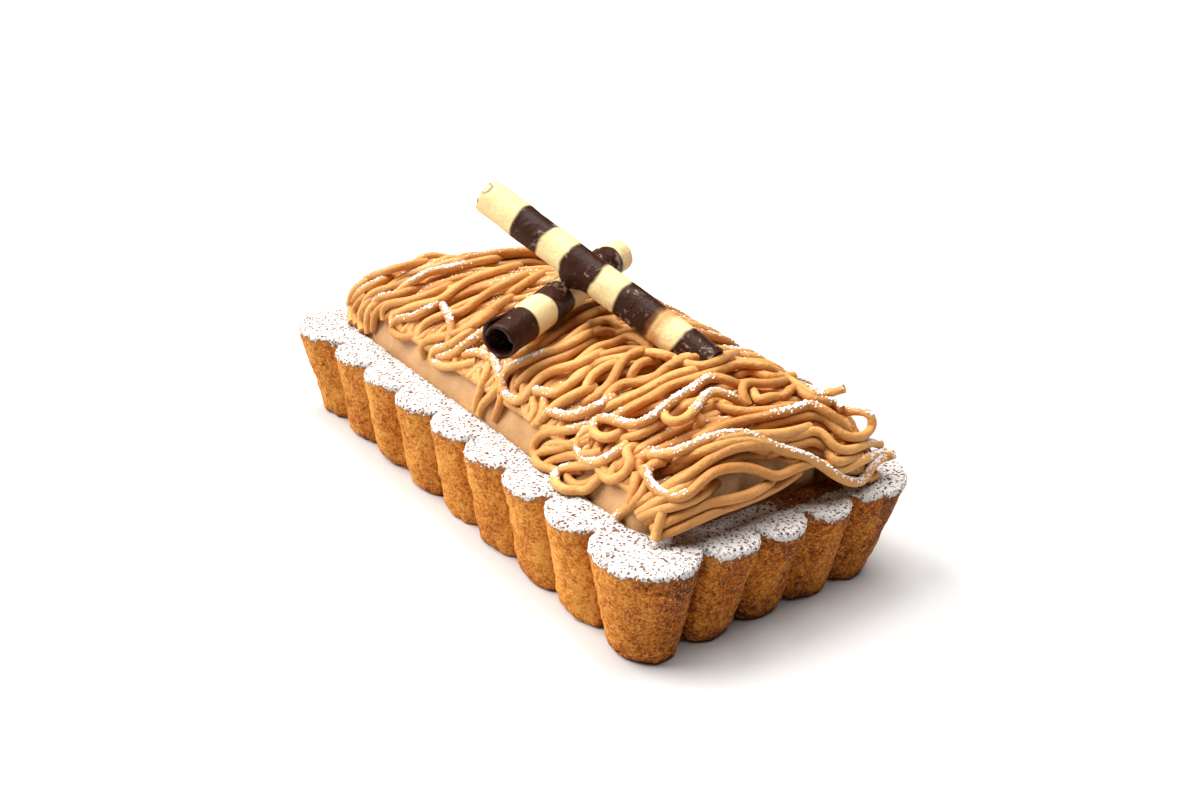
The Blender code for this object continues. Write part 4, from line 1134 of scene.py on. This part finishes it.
def laySeen():
    sugar = []
    for levels, (path, dusted) in zip(seenLevels, seenStrands):
        tucked = [end not in looseEnds for end in (path[0], path[-1])]
        owner, end, chunk, count = len(strands), None, noodleSet["chunk"], levels.shape[1]
        strands.append([])
        cuts = list(range(0, max(1, count - chunk // 2), chunk)) + [count]
        for a, b in zip(cuts, cuts[1:]):
            laid, end = heap.settleSeen(levels[:, a:b], owner, a, end, tucked[0] and a == 0, tucked[1] and b == count)
            strands[owner].append(laid)
        share = np.linspace(0, 1, count)
        soft = 1.5 / count
        sugar.append(stepUp(share, dusted[0] - soft, dusted[0]) * stepUp(-share, -dusted[1] - soft, -dusted[1])
                     * (dusted[1] > 0))
    return sugar


# two coats of strands: where the nozzle starts and stops along the heap, how far apart its passes are, at what
# height they turn, and where its holes sit
coats = {
    "under": {"first": -58.0, "last": 57.0, "halfFrom": 48.0, "halfAcross": 14.0, "pitch": 10.5, "edge": 29.5,
              "edgeVary": 1.0, "backLift": -1.5,
              "holes": [(-2.7, 0.6), (-0.9, -0.7), (0.9, 0.8), (2.7, -0.4)]},
    "over": {"first": -58.5, "last": 57.0, "halfFrom": 49.0, "halfAcross": 15.5, "pitch": 6.4, "edge": 26.6,
             "edgeVary": 1.6, "backLift": -2.6,
             "holes": [(-4.6, 1.2), (-2.7, -1.0), (-0.9, 1.5), (0.95, -1.3), (2.8, 0.9), (4.6, -0.8)]},
}
draw = random.Random(11)
layRibbons(coats["under"], draw)
underCount = len(strands)
layRibbons(coats["over"], draw)
overCount = len(strands)
seenSugar = laySeen()
print("strands laid", len(strands), "points", len(heap.points))


def softenStrand(chunks):
    line = np.concatenate(chunks)
    for _ in range(3):
        line[1:-1] = line[1:-1] * 0.5 + (line[:-2] + line[2:]) * 0.25
    return line


lines = [softenStrand(chunks) for chunks in strands]


def topDust(lines):
    # sugar only lies where nothing is above, more towards the edges and in drifts
    everything = np.concatenate(lines)
    cell, half = 0.9, 100
    key = np.floor(everything[:, :2] / cell).astype(int) + half
    grid = np.full((2 * half, 2 * half), -1e9)
    np.maximum.at(grid, (key[:, 0], key[:, 1]), everything[:, 2])
    out = []
    for line in lines:
        k = np.floor(line[:, :2] / cell).astype(int) + half
        above = grid[k[:, 0], k[:, 1]] - line[:, 2]
        open_ = stepUp(-above, -1.1, -0.3)
        edge = np.maximum(stepUp(np.abs(line[:, 1]), 15, 23), stepUp(np.abs(line[:, 0] - 2), 44, 52))
        drift = stepUp(softNoise(line, 7.0, 31), -0.1, 0.5)
        out.append(open_ * drift * (0.25 + 0.75 * edge))
    return out


dusts = topDust(lines[:overCount]) + seenSugar


def strandTree():
    tree, start, end = startTree("strandTubes", [("Strand radius", "NodeSocketFloat", 0.00088),
                                                 ("Sides", "NodeSocketInt", 8),
                                                 ("Finish", "NodeSocketMaterial", None)])
    curve = addNode(tree, "GeometryNodeMeshToCurve", {"Mesh": start.outputs["Geometry"]})
    index = addNode(tree, "GeometryNodeInputIndex")
    coarse = addNode(tree, "ShaderNodeMath", {0: index, 1: 0.21}, operation="MULTIPLY")
    vary = addNode(tree, "ShaderNodeTexNoise", {"W": coarse, "Scale": 1.0, "Detail": 1.0}, noise_dimensions="1D")
    size = addNode(tree, "ShaderNodeMapRange", {"Value": vary, "From Min": 0.3, "From Max": 0.7,
                                                "To Min": 0.9, "To Max": 1.08})
    taper = addNode(tree, "GeometryNodeInputNamedAttribute", {"Name": "taper"}, data_type="FLOAT")
    thick = addNode(tree, "ShaderNodeMath", {0: size, 1: taper}, operation="MULTIPLY")
    radius = addNode(tree, "GeometryNodeSetCurveRadius", {"Curve": curve, "Radius": thick})
    ring = addNode(tree, "GeometryNodeCurvePrimitiveCircle", {"Resolution": start.outputs["Sides"],
                                                              "Radius": start.outputs["Strand radius"]})
    tube = addNode(tree, "GeometryNodeCurveToMesh", {"Curve": radius, "Profile Curve": ring, "Fill Caps": True})
    real = addNode(tree, "GeometryNodeRealizeInstances", {"Geometry": tube})
    smooth = addNode(tree, "GeometryNodeSetShadeSmooth", {"Geometry": real})
    coat = addNode(tree, "GeometryNodeSetMaterial", {"Geometry": smooth, "Material": start.outputs["Finish"]})
    tree.links.new(coat.outputs[0], end.inputs["Geometry"])
    return tree


tubes = strandTree()


def tip(way):
    # last bit of a strand, where it narrows to a blunt end
    return way / max(np.linalg.norm(way), 1e-6) * noodleSet["tip"]


def makeStrands(name, lines, dusts, seed):
    mesh = bpy.data.meshes.new(name)
    edges, count = [], 0
    lines = [np.vstack([line[:1] + tip(line[0] - line[1]), line, line[-1:] + tip(line[-1] - line[-2])])
             for line in lines]
    dusts = [np.concatenate([dust[:1], dust, dust[-1:]]) for dust in dusts]
    for line in lines:
        edges += [(count + k, count + k + 1) for k in range(len(line) - 1)]
        count += len(line)
    mesh.from_pydata((np.concatenate(lines) * mm).tolist(), edges, [])
    addValues(mesh, "dust", np.concatenate(dusts))
    blunt = [noodleSet["tip"]]
    addValues(mesh, "taper", np.concatenate([blunt + [1.0] * (len(line) - 2) + blunt for line in lines]))
    tone = random.Random(seed)
    addValues(mesh, "shade", np.concatenate([np.full(len(line), tone.uniform(0.0, 0.45)) for line in lines]))
    piece = bpy.data.objects.new(name, mesh)
    bpy.context.scene.collection.objects.link(piece)
    useNodes(piece, tubes, **{"Strand radius": noodleSet["radius"] * mm, "Sides": noodleSet["sides"],
                              "Finish": noodleFinish})
    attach(piece, "root")
    print(name, "triangles", sum(len(f.vertices) - 2 for f in piece.data.polygons))
    return piece


underNoodles = makeStrands("noodles_under", lines[:underCount], dusts[:underCount], 1)
overNoodles = makeStrands("noodles_over", lines[underCount:overCount], dusts[underCount:overCount], 2)
topNoodles = makeStrands("noodles_on_top", lines[overCount:], dusts[overCount:], 3)
for piece in (underNoodles, overNoodles, topNoodles):
    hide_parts("noodle_heap")


coreSet = {"rings": (1.0, 0.985, 0.95, 0.88, 0.75, 0.5, 0.2), "around": 160, "square": 6, "below": 0.1,
           "left": 4.5, "right": 8.0, "front": 4.2, "back": 4.2, "skirt": 3.0}  # the sides: distances inside the bed


def buildCore(s):
    # plain body of paste just under the strands
    rows, count = [], s["around"]
    turn = np.linspace(0, 2 * math.pi, count, endpoint=False)
    cosine, sine = np.cos(turn), np.sin(turn)
    bulk = (np.abs(cosine) ** s["square"] + np.abs(sine) ** s["square"]) ** (-1 / s["square"])
    left, right, front, back = (bedSet[k] - s[k] for k in sides)
    for f in s["rings"]:
        x = np.where(cosine < 0, left, right) * cosine * bulk * f
        y = np.where(sine < 0, front, back) * sine * bulk * f
        rows.append(np.column_stack([x, y, domeAt(x, y, bedSet)[0] - s["below"]]))
    rows.insert(0, rows[0] * (0.98, 0.98, 1) - (0, 0, s["skirt"]))
    piece = makePiece("noodle_core", np.concatenate(rows), ringFaces(len(rows), count), noodleFinish)
    for name in ("dust", "shade"):
        addValues(piece.data, name, np.zeros(len(piece.data.vertices)))
    return piece


core = buildCore(coreSet)
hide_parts("noodle_heap")
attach(core, "root")


# Icing sugar that lies loose in small clumps: how many on a square millimetre, and their radius
sugarSet = {"rimCount": 0.6, "rimSize": 0.17, "noodleCount": 4.5, "noodleSize": 0.2}


def sugarTree():
    tree, start, end = startTree("sugarClumps", [("Per square metre", "NodeSocketFloat", 1.0e6),
                                                 ("Clump size", "NodeSocketFloat", 0.00022),
                                                 ("Seed", "NodeSocketInt", 1),
                                                 ("Finish", "NodeSocketMaterial", None)])
    cover = addNode(tree, "GeometryNodeInputNamedAttribute", {"Name": "grains"}, data_type="FLOAT")
    rate = addNode(tree, "ShaderNodeMath", {0: start.outputs["Per square metre"], 1: cover}, operation="MULTIPLY")
    spots = addNode(tree, "GeometryNodeDistributePointsOnFaces",
                    {"Mesh": start.outputs["Geometry"], "Density": rate, "Seed": start.outputs["Seed"]})
    clump = addNode(tree, "GeometryNodeMeshIcoSphere", {"Radius": start.outputs["Clump size"], "Subdivisions": 1})
    spin = addNode(tree, "FunctionNodeRandomValue", {"Min": (0, 0, 0), "Max": (6.28, 6.28, 6.28),
                                                     "Seed": start.outputs["Seed"]}, data_type="FLOAT_VECTOR")
    size = addNode(tree, "FunctionNodeRandomValue", {2: 0.45, 3: 1.25, "Seed": start.outputs["Seed"]},
                   data_type="FLOAT")
    placed = addNode(tree, "GeometryNodeInstanceOnPoints", {"Points": spots, "Instance": clump,
                      "Rotation": spin, "Scale": size})
    real = addNode(tree, "GeometryNodeRealizeInstances", {"Geometry": placed})
    smooth = addNode(tree, "GeometryNodeSetShadeSmooth", {"Geometry": real})
    coat = addNode(tree, "GeometryNodeSetMaterial", {"Geometry": smooth, "Material": start.outputs["Finish"]})
    tree.links.new(coat.outputs[0], end.inputs["Geometry"])
    return tree


clumps = sugarTree()


def makeGrains(name, source, cover, perSquareMm, size, seed):
    mesh = source.data.copy()
    addValues(mesh, "grains", cover)
    piece = bpy.data.objects.new(name, mesh)
    bpy.context.scene.collection.objects.link(piece)
    useNodes(piece, clumps, **{"Per square metre": perSquareMm * 1e6, "Clump size": size * mm, "Seed": seed,
                               "Finish": sugarFinish})
    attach(piece, "root")
    print(name, "triangles", len(piece.data.polygons))


makeGrains("rim_sugar", crust, np.clip(crustDust, 0, 1), sugarSet["rimCount"], sugarSet["rimSize"], 3)


def onTop(piece):
    # share of sugar clumps at each vertex of the noodles: only where dusted, and only on what faces up
    dust = np.zeros(len(piece.data.vertices), np.float32)
    piece.data.attributes["dust"].data.foreach_get("value", dust)
    return dust * stepUp(readNormals(piece.data)[:, 2], 0.45, 0.95)


for piece, name in ((topNoodles, "noodle_sugar_on_top"), (overNoodles, "noodle_sugar_over")):
    makeGrains(name, piece, onTop(piece), sugarSet["noodleCount"], sugarSet["noodleSize"], 5)


# Floor and light
stageSet = {"half": 4.0, "floor": "#cdcbc9", "key": 5.3, "keySoftness": 44, "keyHeight": 42,
            "keyTurn": -3, "top": 4.0, "topWay": (-0.1, 0.1, 1), "topSoftness": 50, "world": 0.03}


def buildStage(s):
    floor = makePiece("floor", np.array([(-1, -1, 0), (1, -1, 0), (1, 1, 0), (-1, 1, 0)]) * s["half"] / mm,
                      [(0, 1, 2, 3)], bpy.data.materials.new("pale_floor"), smooth=False)
    floor.data.materials[0].use_nodes = True
    shader = floor.data.materials[0].node_tree.nodes["Principled BSDF"]
    shader.inputs["Base Color"].default_value = linear(s["floor"])
    shader.inputs["Roughness"].default_value = 0.75
    shader.inputs["Specular IOR Level"].default_value = 0.2
    # the key comes softly from the left of the picture, so the end of the cake lies in shade
    turn, rise = math.radians(s["keyTurn"]), math.radians(s["keyHeight"])
    left = Matrix.Rotation(turn, 3, "Z") @ -imageRight
    keyFrom = Vector((left.x * math.cos(rise), left.y * math.cos(rise), math.sin(rise)))
    for name, power, softness, way in (("key_light", s["key"], s["keySoftness"], keyFrom),
                                       ("top_light", s["top"], s["topSoftness"], Vector(s["topWay"]))):
        data = bpy.data.lights.new(name, "SUN")
        data.energy, data.angle = power, math.radians(softness)
        lamp = bpy.data.objects.new(name, data)
        lamp.location = way.normalized()
        lamp.rotation_mode = "QUATERNION"
        lamp.rotation_quaternion = (-way).to_track_quat("-Z", "Y")
        bpy.context.scene.collection.objects.link(lamp)
    world = bpy.data.worlds.new("studio")
    world.use_nodes = True
    world.node_tree.nodes["Background"].inputs["Color"].default_value = linear("#ffffff")
    world.node_tree.nodes["Background"].inputs["Strength"].default_value = s["world"]
    bpy.context.scene.world = world
    bpy.context.scene.view_settings.view_transform = "Standard"


buildStage(stageSet)
print("stage set")
